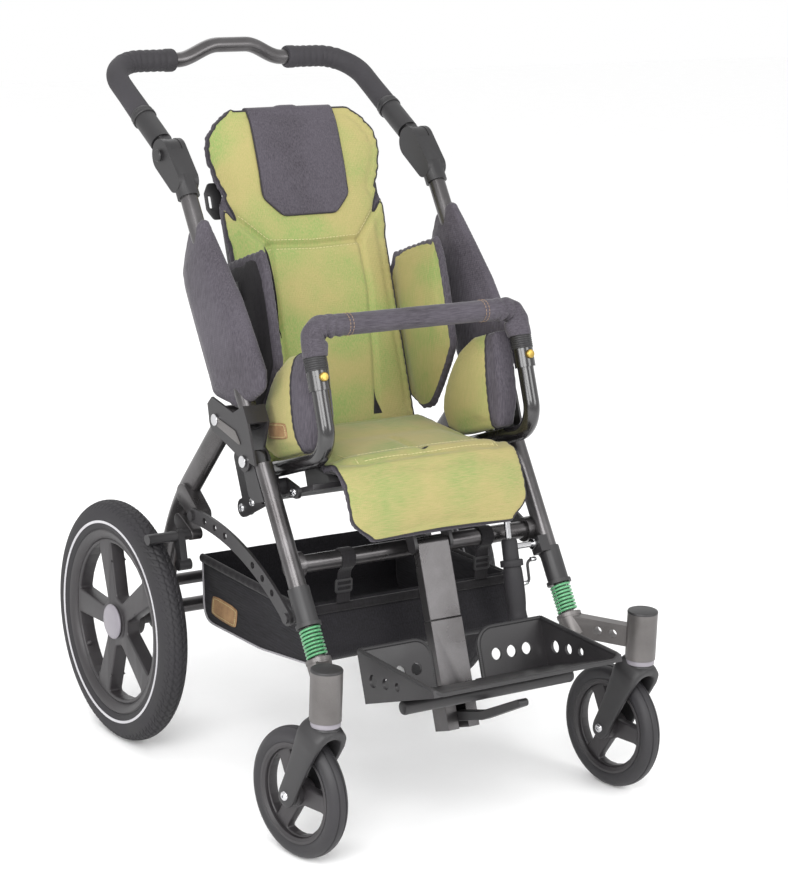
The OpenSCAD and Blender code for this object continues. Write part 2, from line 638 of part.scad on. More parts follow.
// Handle frame: hinge plates, stems and the lower halves of the handle joints
socket_h = 28;
module outer_plate() {
    polygon([[-5, 258], [-18, stem_foot - 1], [-18, stem_foot + socket_h], [16, stem_foot + socket_h + 2],
        [66, 400], [84, 396], [92, 372], [84, 346], [38, 292]]);
    translate(fold_pin) circle(r = ear_r);
    translate(rear_pin) circle(r = rear_ear_r);
}
module inner_plate() {
    link(fold_pin, rear_pin, ear_r, rear_ear_r);
    polygon([[-18, stem_foot - 1], [-18, stem_foot + socket_h], [16, stem_foot + socket_h + 2], [60, 388],
        [52, 330], [18, 290]]);
}
module hinge_plates() color([0.2, 0.2, 0.21]) at_leg() both() difference() {
    union() {
        slab(plate_out, plate_out + plate_t) outer_plate();
        slab(plate_in, plate_in + plate_t) inner_plate();
        slab(plate_in + plate_t / 2, plate_out + plate_t / 2)
            translate([-18, stem_foot - 1]) square([36, socket_h + 1]);
    }
    translate([leg_x, 0, stem_foot]) cylinder(h = 100, d = leg_d + 2 * run);
    translate([leg_x, 0, stem_foot - 10]) cylinder(h = 20, d = leg_d - 6);
    for (p = [fold_pin, rear_pin]) rod_x(plate_in - 1, plate_out + plate_t + 1, pin_d + 2 * run, p);
}
module fold_pins() color("silver") at_leg() both() for (p = [fold_pin, rear_pin]) {
    rod_x(plate_in - 1, plate_out + plate_t + 1, pin_d, p);
    rod_x(plate_out + plate_t + run, plate_out + plate_t + 4, 19, p);
    rod_x(plate_in - 4, plate_in - run, 19, p);
}
module handle_stems() color("dimgray") at_leg() both() translate([leg_x, 0, stem_foot])
    linear_extrude(height = stem_len) ring(leg_d, tube_wall);
cheek_r = 26;
knuckle_w = 19.2;
joint_w = 36;
button_d = 16;
collar_low = stem_foot + stem_len - 20;
module stem_housings() color("black") at_leg() both() difference() {
    union() {
        translate([leg_x, 0, collar_low]) cylinder(h = 34, d = leg_d + 8);
        slab(leg_x - joint_w / 2, leg_x + joint_w / 2) link([2, collar_low + 30], handle_pin, 18, cheek_r);
    }
    translate([leg_x, 0, collar_low - 1]) cylinder(h = 21, d = leg_d + 2 * run);
    rod_x(leg_x - knuckle_w / 2 - gap, leg_x + knuckle_w / 2 + gap, 2 * cheek_r + 2, handle_pin);
    rod_x(leg_x, leg_x + joint_w, button_d + 2 * run, handle_pin);
}
module at_button() at_leg() translate([leg_x, handle_pin[0], handle_pin[1]]) rotate([0, 90, 0]) children();
module handle_button() {
    translate([0, 0, 4]) cylinder(h = joint_w / 2 - 4, d = button_d);
    translate([0, 0, joint_w / 2 + gap + 3.2]) cylinder(h = 3, d1 = 21, d2 = 18);
    translate([0, 0, joint_w / 2 - 1]) cylinder(h = 5, d = button_d);
}
module left_handle_button() color("black") at_button() handle_button();
module right_handle_button() color("black") right() at_button() handle_button();
function sleeve_low(z) = lookup(z - stem_foot, [[28, -62], [56, -79], [182, -66], [294, -40], [336, -30]]);
function sleeve_high(z) = lookup(z - stem_foot, [[28, 14], [88, 88], [101, 80], [281, 78], [336, 24]]);
sleeve_rows = steps(stem_foot + socket_h + 4, stem_foot + stem_len - 66, 12);
sleeve_t = 42;
module sleeve() translate([leg_x, 0, 0]) rotate([0, 0, 90]) pad([for (z = sleeve_rows) [0, z]],
    [for (z = sleeve_rows) sleeve_low(z)], [for (z = sleeve_rows) sleeve_high(z)], 12, sleeve_t, [], 10);
module left_stem_sleeve() color("yellowgreen") at_leg() sleeve();
module right_stem_sleeve() color("yellowgreen") at_leg() right() sleeve();

// Push handle
collar_from = 32;
collar_to = 96;
tube_from = 50;
crown_back = 9;
sleeve_joint = bare_w / 2 + 22;
crown_rings = 24;
crown_sides = 20;
crown_flat = 26;
function crown_x(i) = (sleeve_joint - 0.1) * (2 * i / crown_rings - 1);
function crown_share(x) = max(0, min(1, (abs(x) - crown_flat) / (bare_w / 2 - crown_flat)));
function crown_rise(x) = 0.5 + 0.5 * cos(180 * crown_share(x));
function crown_mid(i) = [crown_x(i), handle_reach + crown_back * crown_rise(crown_x(i)),
    handle_crown * crown_rise(crown_x(i))];
function crown_ring(i) = let (out = unit([0, crown_back, handle_crown]),
        way = i == 0 || i == crown_rings ? [1, 0, 0] : unit(crown_mid(i + 1) - crown_mid(i - 1)),
        side = unit(cross(way, out)), up = cross(side, way))
    [for (k = [0:crown_sides - 1]) crown_mid(i) + handle_d / 2
        * (cos(360 * k / crown_sides) * side + sin(360 * k / crown_sides) * up)];
module handle_tube() color("dimgray") at_handle() {
    both() bent_bar([[leg_x, tube_from, 0], [leg_x, handle_reach, 0], [sleeve_joint, handle_reach, 0]],
        handle_bend, [0, 0, 1]) circle(d = handle_d);
    // The crowned middle, joined to the two elbows inside the grips
    polyhedron(points = [for (i = [0:crown_rings]) each crown_ring(i)],
        faces = concat([[for (k = [crown_sides - 1:-1:0]) k]], [[for (k = [0:crown_sides - 1])
            crown_rings * crown_sides + k]],
            [for (i = [0:crown_rings - 1], k = [0:crown_sides - 1], h = [0, 1])
            let (a = i * crown_sides + k, b = i * crown_sides + (k + 1) % crown_sides)
            h == 0 ? [a, b, a + crown_sides] : [b, b + crown_sides, a + crown_sides]]));
}
module handle_grips() color("black") at_handle() both()
    bent_bar([[leg_x, 112, 0], [leg_x, handle_reach, 0], [bare_w / 2 + 8, handle_reach, 0]], handle_bend)
        ring(grip_d, (grip_d - handle_d) / 2 - run);
module handle_housings() color("black") at_handle() both() difference() {
    union() {
        rod_x(leg_x - knuckle_w / 2, leg_x + knuckle_w / 2, 2 * (cheek_r - 1), [0, 0]);
        translate([leg_x - knuckle_w / 2, 0, -15]) cube([knuckle_w, collar_from + 6, 30]);
        translate([leg_x, collar_from, 0]) rotate([-90, 0, 0])
            cylinder(h = collar_to - collar_from, d = handle_d + 11);
    }
    translate([leg_x, tube_from, 0]) rotate([-90, 0, 0]) cylinder(h = 100, d = handle_d + 2 * run);
    rod_x(leg_x - 40, leg_x + 40, button_d + 2 * run, [0, 0]);
}

// Seat unit
pan_back = 148;
pan_front = -36;
ear_x = post_w / 2 + 1;
lug_r = 9;
arm_back = 96;
arm_bend = 45;
arm_top = 303;
hip_mid = arm_x - 19;
hip_t = 57;
lap_half = hip_mid - hip_t / 2 - 1.5;
board_back = 140;
board_slope = (seat_rise - 2) / (board_back - pan_front);
function board_z(y) = pan_top + 2 + board_slope * (y - pan_front);
module seat_frame() color([0.15, 0.15, 0.16]) at_seat() difference() {
    union() {
        translate([-side_x, pan_front, pan_top - pan_t]) cube([2 * side_x, pan_back - pan_front, pan_t]);
        // Seat board on two ribs
        slab(6 - lap_half, lap_half - 6) polygon([[pan_front, pan_top - 1], [pan_front, board_z(pan_front)],
            [board_back, board_z(board_back)], [board_back, board_z(board_back) - 5], [0, board_z(0) - 5],
            [0, pan_top - 1]]);
        both() slab(90, 95) polygon([[-1, pan_top - 1], [-1, board_z(0) - 3], [board_back - 4,
            board_z(board_back - 4) - 3], [board_back - 4, pan_top - 1]]);
        both() {
            slab(side_x, side_x + side_t) {
                link(tilt_pin, recline_pin, 13, 15);
                link(tilt_pin, [10, pan_top - 6], 13, 10);
            }
            // Block that holds the armrest tube's rear end
            translate([side_x, 62, tilt_pin[1] - 16]) cube([12, 34, arm_z - tilt_pin[1] + 16]);
            // Stubs on which the backrest reclines
            rod_x(side_x - 11, side_x + 1, pin_d, recline_pin);
            // Ears that carry the legrest
            slab(ear_x, ear_x + 6) link(legrest_pin, [-34, pan_top - 12], 11, 11);
        }
        rod_x(-ear_x - 3, ear_x + 3, strut_pin_d, legrest_pin);
        // Lugs that take the gas rod's eye
        for (s = [-1, 1]) translate([gas_x + s * 9 - 2, 0, 0])
            slab(0, 4) link(gas_top, gas_top + [0, pan_top - pan_t - gas_top[1] + 3], 8, 8);
        for (s = [-1, 1]) rod_x(gas_x + s * 6 - 3, gas_x + s * 6 + 3, 7, gas_top);
    }
    both() {
        rod_x(side_x - 1, side_x + 20, pin_d + 2 * run, tilt_pin);
        rod_x(side_x - 1, side_x + 20, 20, [112, 113]);
        arm_hole();
    }
}
module arm_hole() translate([arm_x, arm_back - 40, arm_z]) rotate([-90, 0, 0])
    cylinder(h = 60, d = arm_d + 2 * run);
seat_lift = (gap + seat_t / 2) * norm([1, board_slope]);
seat_path = concat([for (y = steps(147, -34, 7)) [y, board_z(y) + seat_lift]],
    [[-60, 137], [-79, 124], [-87, 101], [-89, 72], [-87, 42], [-84, 14]]);
seat_half = concat([for (s = [3, 3, 3, 3, 4, 5]) lap_half + s], [lap_half + 14, lap_half + 23],
    [for (s = [1, 1, 1, 0.995, 0.97, 0.78]) seat_w / 2 * s]);
module seat_cushion() color("yellowgreen") at_seat()
    pad(seat_path, -seat_half, seat_half, 12, seat_t, [4, 8], 12);
button_z = 269;
bumper_leg_d = arm_d - 2 * tube_wall - 2 * run;
module armrest_tubes() color("black") at_seat() both() difference() {
    union() {
        bent_bar([[arm_x, arm_back, arm_z], [arm_x, -arm_front, arm_z], [arm_x, -arm_front, arm_top]],
            arm_bend) ring(arm_d, tube_wall);
        translate([arm_x, -arm_front, 250]) linear_extrude(height = arm_top - 250)
            ring(arm_d + 7, tube_wall + 3.5);
    }
    translate([arm_x, -arm_front, button_z]) rotate([90, 0, 0]) cylinder(h = 40, d = 14 + 2 * run);
    translate([arm_x, arm_back + 1, arm_z]) rotate([90, 0, 0]) cylinder(h = 150, d = arm_d - 2 * tube_wall);
}
// The hip pads rest on the armrest tubes
hip_edge = 34;
hip_low = arm_z + arm_d / 2 + gap;
hip_rows = steps(hip_low, hip_low + 149, 9);
function hip_front(z) = lookup(z - hip_low, [[0, -56], [20, -68], [50, -80], [135, -88], [149, -88]]);
function hip_back(z) = lookup(z - hip_low,
    [[0, 52], [14, 82], [45, 92], [75, 80], [110, 48], [138, 12], [149, -24]]);
module hip_pad() translate([hip_mid, 0, 0]) rotate([0, 0, 90]) pad([for (z = hip_rows) [0, z]],
    [for (z = hip_rows) hip_front(z)], [for (z = hip_rows) hip_back(z)], hip_edge, hip_t, [], 8);
module left_hip_pad() color("yellowgreen") at_seat() hip_pad();
module right_hip_pad() color("yellowgreen") at_seat() right() hip_pad();

// Gas strut for the tilt: trunnion mounted, with its rod up to the seat pan
gas_reach = norm(turn(gas_pin - crossbar, seat_tilt) - gas_top);
rod_d = 10;
sleeve_len = 96;
rod_in = sleeve_len - 12;
module gas_cylinder() color("black") at_gas() {
    difference() {
        union() {
            translate([0, 0, -20]) cylinder(h = 34, d = 26);
            translate([0, 0, -30]) cylinder(h = 10, d = 37);
            translate([0, 0, -20 - sleeve_len]) cylinder(h = sleeve_len - 5, d = 32);
        }
        translate([0, 0, -20 - sleeve_len + 12]) cylinder(h = sleeve_len + 60, d = rod_d + 2 * run);
        rod_x(trunnion_in - gas_x - 0.5, 30, caster_axle_d + 2 * run, [0, 0]);
    }
    // Release cable from the head's adjuster to the bracket
    bent_bar([[16.2, 0, -60], [30, 0, -60], [30, 0, -24], [bracket_in - gas_x - 1, 0, -24]], 7)
        circle(d = 5);
}
module gas_rod() color("silver") at_gas() difference() {
    union() {
        translate([0, 0, -rod_in]) cylinder(h = rod_in + gas_reach - 8, d = rod_d);
        rod_x(-5.5, 5.5, 20, [0, gas_reach]);
    }
    rod_x(-10, 10, 13, [0, gas_reach]);
}

// Backrest
function back_half(z) = lookup(z, [[160, back_w * 0.47], [190, back_w / 2], [520, back_w / 2],
    [575, back_w / 2 + 7], [604, back_w / 2 - 5], [640, head_w / 2 - 4], [664, head_w / 2],
    [700, head_w / 2 - 4], [728, head_w / 2 - 28], [back_top, head_w / 2 - 53]]);
back_rows = concat(steps(164, 560, 9), [582, 604, 630, 664, 700, 724, back_top]);
shell_side = side_x - 10;
shell_half = 140;
lateral_t = 30;
lateral_mid = back_w / 2 - 1.5 + lateral_t / 2;
bracket_x = lateral_mid + lateral_t / 2 + 0.5;
module back_shell() color([0.16, 0.16, 0.17]) at_seat() difference() {
    union() {
        translate([-shell_half, shell_y, 150]) cube([2 * shell_half, shell_t, 440]);
        translate([-95, shell_y, 560]) cube([190, shell_t, 150]);
        translate([-side_x + 4.2, shell_y, 150]) cube([2 * side_x - 8.4, shell_t, 46]);
        both() {
            slab(shell_side, shell_side + 5.8) link(recline_pin, [shell_y + 4, 186], 13, 10);
            // Plates that carry the lateral pads
            for (z = [330, 420]) {
                translate([bracket_x, 96, z]) cube([4, shell_y + shell_t - 96, 34]);
                translate([shell_half - 1, shell_y, z]) cube([bracket_x + 4 - shell_half, shell_t, 34]);
            }
        }
    }
    both() {
        rod_x(shell_side - 1, shell_side + 7, pin_d + 2 * run, recline_pin);
        for (z = [347, 437], y = [120, 160]) rod_x(bracket_x - 1, bracket_x + 5, 12, [y, z]);
    }
}
module back_cushion() color("yellowgreen") at_seat() pad([for (z = back_rows) [back_face + back_t / 2, z]],
    [for (z = back_rows) -back_half(z)], [for (z = back_rows) back_half(z)], 14, back_t, [5, 11], 12);
lateral_rows = steps(222, 494, 9);
module lateral_pad() translate([lateral_mid, 0, 0]) rotate([0, 0, 90]) pad([for (z = lateral_rows) [0, z]],
    [for (z = lateral_rows) lookup(z, [[222, 124], [238, 106], [309, 36], [400, 30], [470, 28], [494, 36]])],
    [for (z = lateral_rows) lookup(z, [[222, 158], [246, 182], [470, 184], [494, 172]])],
    12, lateral_t, [], 8);
module left_lateral_pad() color("yellowgreen") at_seat() lateral_pad();
module right_lateral_pad() color("yellowgreen") at_seat() right() lateral_pad();

// Bumper bar, which pulls up out of the armrest tubes
bumper_bend = 34;
function bumper_path(z) = [for (p = [[1, z], [1, bumper_z], [-1, bumper_z], [-1, z]])
    [p[0] * arm_x, -arm_front, p[1]]];
module bumper_bar() color("dimgray") at_seat()
    bent_bar(bumper_path(205), bumper_bend) circle(d = bumper_leg_d);
module bumper_cover() color("gray") at_seat() bent_bar(bumper_path(arm_top + 4), bumper_bend)
    ring(bumper_cover_d, (bumper_cover_d - bumper_leg_d) / 2 - run);
bumper_button_in = arm_front + bumper_leg_d / 2 + 2;
module bumper_button() translate([arm_x, -bumper_button_in, button_z]) rotate([90, 0, 0]) {
    cylinder(h = 8, d = 14);
    translate([0, 0, 8]) cylinder(h = 1.5, d1 = 14, d2 = 11);
}
module left_bumper_button() color("gold") at_seat() bumper_button();
module right_bumper_button() color("gold") at_seat() right() bumper_button();

// Legrest and footplate
post_front = legrest_pin[0] - post_t / 2;
tongue_w = post_w - 7;
tongue_t = post_t - 7;
module post_box(w, t, z0, z1) translate([-w / 2, legrest_pin[0] - t / 2, z0]) cube([w, t, z1 - z0]);
module legrest_post() color("dimgray") at_seat() difference() {
    union() {
        post_box(post_w, post_t, -post_len, legrest_pin[1]);
        rod_x(-post_w / 2, post_w / 2, post_t, legrest_pin);
    }
    post_box(tongue_w + 0.2, tongue_t + 0.2, -post_len - 1, -14);
    rod_x(-post_w, post_w, strut_pin_d + 2 * run, legrest_pin);
}
foot_low = -288;
lever_pin = [-44, -268];
hinge_half = 19;
module legrest_slider() color("dimgray") at_seat() difference() {
    union() {
        post_box(tongue_w, tongue_t, -post_len - 5, -18);
        post_box(post_w, post_t, foot_low, -post_len - 0.4);
        slab(-post_w / 2, post_w / 2) translate([legrest_pin[0], foot_low]) square([28, 56]);
        both() slab(hinge_half + gap, post_w / 2) link([-52, tray_pin[1]], tray_pin, 9, 9);
        rod_x(-hinge_half - 2, hinge_half + 2, 8, tray_pin);
    }
    slab(-9, 9) translate([-80, foot_low - 1]) square([60, foot_low * -1 - 248]);
    rod_x(-20, 20, 8 + 2 * run, lever_pin);
    slab(-hinge_half - gap, hinge_half + gap) translate([-66, tray_pin[1] - 11]) square([6, 22]);
}
tray_back = post_front - 5.5;
tray_t = 6;
wall_t = 5;
tray_lip = 5;     // height of the side walls at the front
// Holes of a side wall, [from the rear, above the floor, diameter]
side_holes = [[32, 27, 20], [66, 21, 17], [97, 15, 13]];
foot_bar = [-138, -tray_drop - tray_t - 11.5];
// Half of the footplate's rear wall, with a round inner corner
panel_in = 45;
panel_r = 28;
module rear_panel() polygon(concat([[tray_w / 2, -1], [tray_w / 2, tray_wall_h]],
    [for (a = steps(90, 180, 8)) [panel_in + panel_r, tray_wall_h - panel_r] + panel_r * [cos(a), sin(a)]],
    [[panel_in, -1]]));
module footplate_tray() color([0.2, 0.2, 0.21]) at_seat() difference() {
    union() {
        translate([-tray_w / 2, tray_back - tray_depth, -tray_drop - tray_t])
            cube([tray_w, tray_depth, tray_t]);
        both() {
            translate([0, tray_back, -tray_drop]) rotate([90, 0, 0]) linear_extrude(height = wall_t)
                rear_panel();
            slab(tray_w / 2 - wall_t, tray_w / 2) translate([tray_back, -tray_drop])
                polygon([[0, -1], [0, tray_wall_h], [-tray_depth, tray_lip], [-tray_depth, -1]]);
            slab(100, 112) translate([foot_bar[0] - 7, foot_bar[1]]) square([14, 14]);
        }
        rod_x(-153, 153, 22, foot_bar);
        slab(-hinge_half, hinge_half) link(tray_pin, [tray_pin[0] - 30, -tray_drop - tray_t - 5], 9, 7);
    }
    rod_x(-40, 40, 8 + 2 * run, tray_pin);
    both() {
        for (x = [75, 104, 133]) translate([x, tray_back + 1, -tray_drop + 32]) rotate([90, 0, 0])
            cylinder(h = 10, d = 19);
        for (h = side_holes)
            rod_x(tray_w / 2 - 10, tray_w / 2 + 10, h[2], [tray_back - h[0], -tray_drop + h[1]]);
    }
    // Notch that lets the floor swing up in front of the post
    translate([-post_w / 2 - 2, tray_back - 24, -tray_drop - tray_t - 1]) cube([post_w + 4, 25, tray_t + 2]);
}
module foot_lever() color("black") at_seat() difference() {
    union() {
        slab(-8.6, 8.6) link(lever_pin, [-120, -270], 8, 7);
        slab(-8.6, 8.6) link([-120, -270], [-222, -256], 7, 6);
        rod_x(-20, 20, 8, lever_pin);
    }
}

left_front_leg();
right_front_leg();
front_crossbar();
leg_fittings();
trunnion_pin();
left_spring();
right_spring();
basket();
left_rear_leg();
right_rear_leg();
rear_cross_tubes();
rear_axles();
left_brake();
right_brake();
left_strut();
right_strut();
left_tyre();
left_rim();
left_hub_cap();
right_tyre();
right_rim();
right_hub_cap();
left_caster_arm();
right_caster_arm();
left_caster_fork();
right_caster_fork();
left_caster_tyre();
left_caster_rim();
right_caster_tyre();
right_caster_rim();
hinge_plates();
fold_pins();
handle_stems();
stem_housings();
left_stem_sleeve();
right_stem_sleeve();
handle_tube();
handle_grips();
handle_housings();
left_handle_button();
right_handle_button();
seat_frame();
seat_cushion();
armrest_tubes();
left_hip_pad();
right_hip_pad();
gas_cylinder();
gas_rod();
back_shell();
back_cushion();
left_lateral_pad();
right_lateral_pad();
bumper_bar();
bumper_cover();
left_bumper_button();
right_bumper_button();
legrest_post();
legrest_slider();
footplate_tray();
foot_lever();
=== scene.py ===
# %% [markdown]
# # A special needs buggy, dressed piece by piece
# The solids of the buggy are already built and packed: tubes, wheels, joints and the plain forms of
# its pads. This lesson gives each of them its finish. A metal part whose shape is right is copied
# and gets soft edges, and a part that is soft, woven, ribbed or round is modelled again over the
# solid it stands for. Everything stays in the frame of the solids: metres, front towards -Y, +Z up.

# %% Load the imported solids
import json
import math

import bmesh
import bpy
from mathutils import Matrix, Quaternion, Vector, noise
from mathutils.bvhtree import BVHTree


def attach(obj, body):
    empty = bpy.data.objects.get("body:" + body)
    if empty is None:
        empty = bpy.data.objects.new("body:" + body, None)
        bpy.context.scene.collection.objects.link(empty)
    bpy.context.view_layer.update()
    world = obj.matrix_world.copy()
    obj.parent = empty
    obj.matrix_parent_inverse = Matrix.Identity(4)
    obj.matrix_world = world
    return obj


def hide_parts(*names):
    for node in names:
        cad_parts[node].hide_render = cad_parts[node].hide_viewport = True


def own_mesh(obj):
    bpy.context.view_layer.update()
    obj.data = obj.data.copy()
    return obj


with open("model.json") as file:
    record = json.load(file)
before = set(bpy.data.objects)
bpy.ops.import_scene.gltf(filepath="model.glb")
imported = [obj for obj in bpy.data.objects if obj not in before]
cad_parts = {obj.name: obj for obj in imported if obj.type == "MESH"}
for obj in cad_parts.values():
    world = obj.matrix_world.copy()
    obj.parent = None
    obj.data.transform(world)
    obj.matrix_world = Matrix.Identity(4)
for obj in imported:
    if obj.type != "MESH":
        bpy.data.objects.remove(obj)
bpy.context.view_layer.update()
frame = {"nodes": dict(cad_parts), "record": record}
scene = bpy.context.scene
body_of_node = {n: b for b, nodes in frame["record"]["behaviour"]["bodies"].items() for n in nodes}

# %% [markdown]
# ## The camera
# The picture was taken with a long lens from the front and the right-hand side, a little above the
# seat, and the camera leaned by two degrees. Its place was worked out from points that are known on
# both sides of the buggy. Setting the lens by the height of the frame keeps it right for any width.

# %% Camera
camera = bpy.data.objects.new("camera", bpy.data.cameras.new("camera"))
scene.collection.objects.link(camera)
scene.camera = camera
camera.data.sensor_fit = "VERTICAL"
camera.data.sensor_height = 36.0
camera.data.sensor_width = 36.0
camera.data.lens = 101.9
camera.data.clip_end = 100.0
sight = Vector((0.53875, 0.80508, -0.24818))
lean = Quaternion((0, 0, 1), math.radians(1.96))
camera.location = (-2.1324, -3.2729, 1.5240)
camera.rotation_mode = "QUATERNION"
camera.rotation_quaternion = sight.to_track_quat("-Z", "Y") @ lean
print("camera at", tuple(camera.location))

# %% [markdown]
# ## Floor and light
# The buggy stands in a white studio. A wide pale floor and an even sky give the soft fill, and
# four large area lamps, as soft boxes would, draw the long highlights on the tubes.

# %% Studio
bm = bmesh.new()
bmesh.ops.create_grid(bm, x_segments=1, y_segments=1, size=9.0)
floor_mesh = bpy.data.meshes.new("studio_floor")
bm.to_mesh(floor_mesh)
bm.free()
floor = bpy.data.objects.new("studio_floor", floor_mesh)
scene.collection.objects.link(floor)
floor.location.z = -0.0005
SOFT_BOXES = (  # place, where it looks, width, power
    ((-2.0, -2.6, 2.5), (0, -0.1, 0.5), 2.0, 95),
    ((-3.6, -1.4, 1.5), (0, -0.1, 0.5), 1.6, 50),
    ((1.3, -3.2, 1.9), (0, -0.1, 0.6), 1.6, 40),
    ((0.3, 2.6, 3.0), (0, 0, 0.8), 2.4, 25),
)
for place, target, width, power in SOFT_BOXES:
    lamp = bpy.data.objects.new("soft_box", bpy.data.lights.new("soft_box", "AREA"))
    lamp.data.size = width
    lamp.data.energy = power
    lamp.location = place
    lamp.rotation_mode = "QUATERNION"
    lamp.rotation_quaternion = (Vector(target) - Vector(place)).to_track_quat("-Z", "Y")
    scene.collection.objects.link(lamp)
world = bpy.data.worlds.new("studio")
scene.world = world
world.use_nodes = True
world.node_tree.nodes["Background"].inputs["Color"].default_value = (1, 1, 1, 1)
world.node_tree.nodes["Background"].inputs["Strength"].default_value = 1.0
scene.view_settings.view_transform = "Standard"
print("lamps:", len(SOFT_BOXES))

# %% [markdown]
# ## Materials
# A finish starts from what the real material is and how its surface was made. Two small tools are
# at the root of all of them: one turns a colour as seen on a screen into the linear value that the
# shader wants, the other adds a node with its settings and its links. The rest are its usual uses.

# %% Colour and node tools
def linear(code):
    """A colour such as "b8b87c" as linear red, green, blue and alpha."""
    parts = [int(code[i:i + 2], 16) / 255 for i in (0, 2, 4)]
    return tuple(c / 12.92 if c <= 0.04045 else ((c + 0.055) / 1.055) ** 2.4 for c in parts) + (1.0,)


def add(tree, kind, settings=None, inputs=None):
    """A node of this kind; an input takes either a number or another node's output."""
    node = tree.nodes.new(kind)
    for key, value in (settings or {}).items():
        setattr(node, key, value)
    for key, value in (inputs or {}).items():
        if isinstance(value, bpy.types.NodeSocket):
            tree.links.new(value, node.inputs[key])
        else:
            node.inputs[key].default_value = value
    return node


def new_tree(name):
    material = bpy.data.materials.new(name)
    material.use_nodes = True
    material.node_tree.nodes.clear()
    place = add(material.node_tree, "ShaderNodeTexCoord").outputs["Object"]
    return material, material.node_tree, place


def cells(tree, place, size_mm, detail, more=None):
    """Noise with cells of this size; a texture's scale is cells per metre."""
    inputs = {"Vector": place, "Scale": 1000 / size_mm, "Detail": detail, **(more or {})}
    return add(tree, "ShaderNodeTexNoise", None, inputs).outputs["Fac"]


def stretched(tree, value, low, high, first=0.0, last=1.0):
    """What lies between two limits, spread over another range."""
    inputs = {"Value": value, "From Min": low, "From Max": high, "To Min": first, "To Max": last}
    return add(tree, "ShaderNodeMapRange", None, inputs).outputs["Result"]


def mixed(tree, share, one, other):
    return add(tree, "ShaderNodeMix", {"data_type": "RGBA"}, {0: share, 6: one, 7: other}).outputs[2]


def reckoned(tree, operation, *values):
    return add(tree, "ShaderNodeMath", {"operation": operation}, dict(enumerate(values))).outputs[0]


def shaded(tree, colour, rough, height, strength, depth_mm, more):
    """Closes a tree with a relief, a shader and the output."""
    relief = add(tree, "ShaderNodeBump", None,
                 {"Height": height, "Strength": strength, "Distance": depth_mm / 1000}).outputs["Normal"]
    shader = add(tree, "ShaderNodeBsdfPrincipled", None,
                 {"Base Color": colour, "Roughness": rough, "Normal": relief, **more})
    add(tree, "ShaderNodeOutputMaterial", None, {"Surface": shader.outputs[0]})


# %% [markdown]
# ### Coats and mouldings
# Powder coat, enamel, moulded nylon and rubber differ in grain and gloss but are built alike: a fine
# grain that breaks the light, and a broad cloud of slightly darker and duller patches where hands
# and dust have been. The grain and the depth of its relief are given in millimetres.

# %% Coats and mouldings
def coat(name, dark, light, grain_mm, rough, metallic=0.0, bump_mm=0.05, clear=0.0, cloud_mm=70.0):
    material, tree, place = new_tree(name)
    grain = cells(tree, place, grain_mm, 2.0)
    cloud = cells(tree, place, cloud_mm, 4.0)
    shade = stretched(tree, reckoned(tree, "MULTIPLY_ADD", grain, 0.45, cloud), 0.45, 1.0)
    colour = mixed(tree, shade, linear(dark), linear(light))
    gloss = stretched(tree, cloud, 0.3, 0.7, *rough)
    shaded(tree, colour, gloss, grain, 0.35, bump_mm,
           {"Metallic": metallic, "Coat Weight": clear, "Coat Roughness": 0.12})
    return material


# Powder-coated aluminium: a metallic graphite coat baked on, so a fine sparkle and a broad sheen.
graphite_coat = coat("graphite_powder_coat", "403e3e", "656364", 0.9, (0.25, 0.34), 0.8, 0.04)
# The caster housings carry a lighter, duller coat of the same kind.
grey_coat = coat("warm_grey_powder_coat", "565352", "6e6b6a", 0.9, (0.36, 0.46), 0.55, 0.04)
# Black powder coat on steel plates: satin, with an orange-peel skin.
black_coat = coat("black_powder_coat", "1d1c1d", "2b292b", 1.6, (0.38, 0.5), 0.0, 0.05)
# Stove enamel on the armrest tubes: deep black under a clear gloss.
black_enamel = coat("black_stove_enamel", "111011", "191718", 3.0, (0.2, 0.28), 0.0, 0.02, 0.6)
# Glass-filled nylon, moulded in a sparked tool: dark, matt, finely pitted.
black_nylon = coat("moulded_black_nylon", "1b1a1c", "292829", 0.8, (0.42, 0.55), 0.0, 0.06)
# The wheel mouldings are a shade lighter and smoother.
wheel_nylon = coat("moulded_charcoal_nylon", "222022", "312e30", 0.9, (0.4, 0.5), 0.0, 0.05)
# Vulcanised rubber: black turned a little grey by bloom and dust.
tyre_rubber = coat("tyre_rubber", "161517", "242226", 1.2, (0.62, 0.78), 0.0, 0.08)
caster_rubber = coat("caster_polyurethane", "19181a", "262428", 1.5, (0.48, 0.6), 0.0, 0.05)
# Closed-cell foam: a soft open-pored black skin.
grip_foam = coat("closed_cell_foam", "211f22", "353337", 1.4, (0.7, 0.85), 0.0, 0.12)
# ABS caps: light grey, smooth from the mould.
cap_abs = coat("light_grey_abs", "77737a", "88848a", 1.0, (0.36, 0.44), 0.0, 0.03)
# The reflecting stripe of a tyre: a pale matt band.
stripe_white = coat("reflective_band", "a7a5a9", "bdbcbf", 0.7, (0.45, 0.55), 0.0, 0.03)
# Polished chrome on screws and the strut's rod.
chrome = coat("polished_chrome", "b4b4b6", "d8d8da", 2.0, (0.1, 0.18), 1.0, 0.01)
# Green enamel on spring wire.
spring_enamel = coat("green_spring_enamel", "3a7d50", "5fa173", 2.5, (0.26, 0.36), 0.1, 0.02, 0.4)
# Brass-yellow push buttons.
button_brass = coat("yellow_brass", "947934", "b99e56", 1.0, (0.25, 0.35), 0.8, 0.02)
# Vegetable-tanned leather: tan, creased and mottled.
tan_leather = coat("vegetable_tanned_leather", "785a3d", "9c7c58", 1.8, (0.55, 0.7), 0.0, 0.15,
                   cloud_mm=14.0)
# The studio's floor: white, without any gloss.
pale_floor = coat("pale_studio_floor", "fcfcfc", "fefefe", 30.0, (0.85, 0.9), 0.0, 0.01)
floor.data.materials.append(pale_floor)
print("coats:", len(bpy.data.materials))

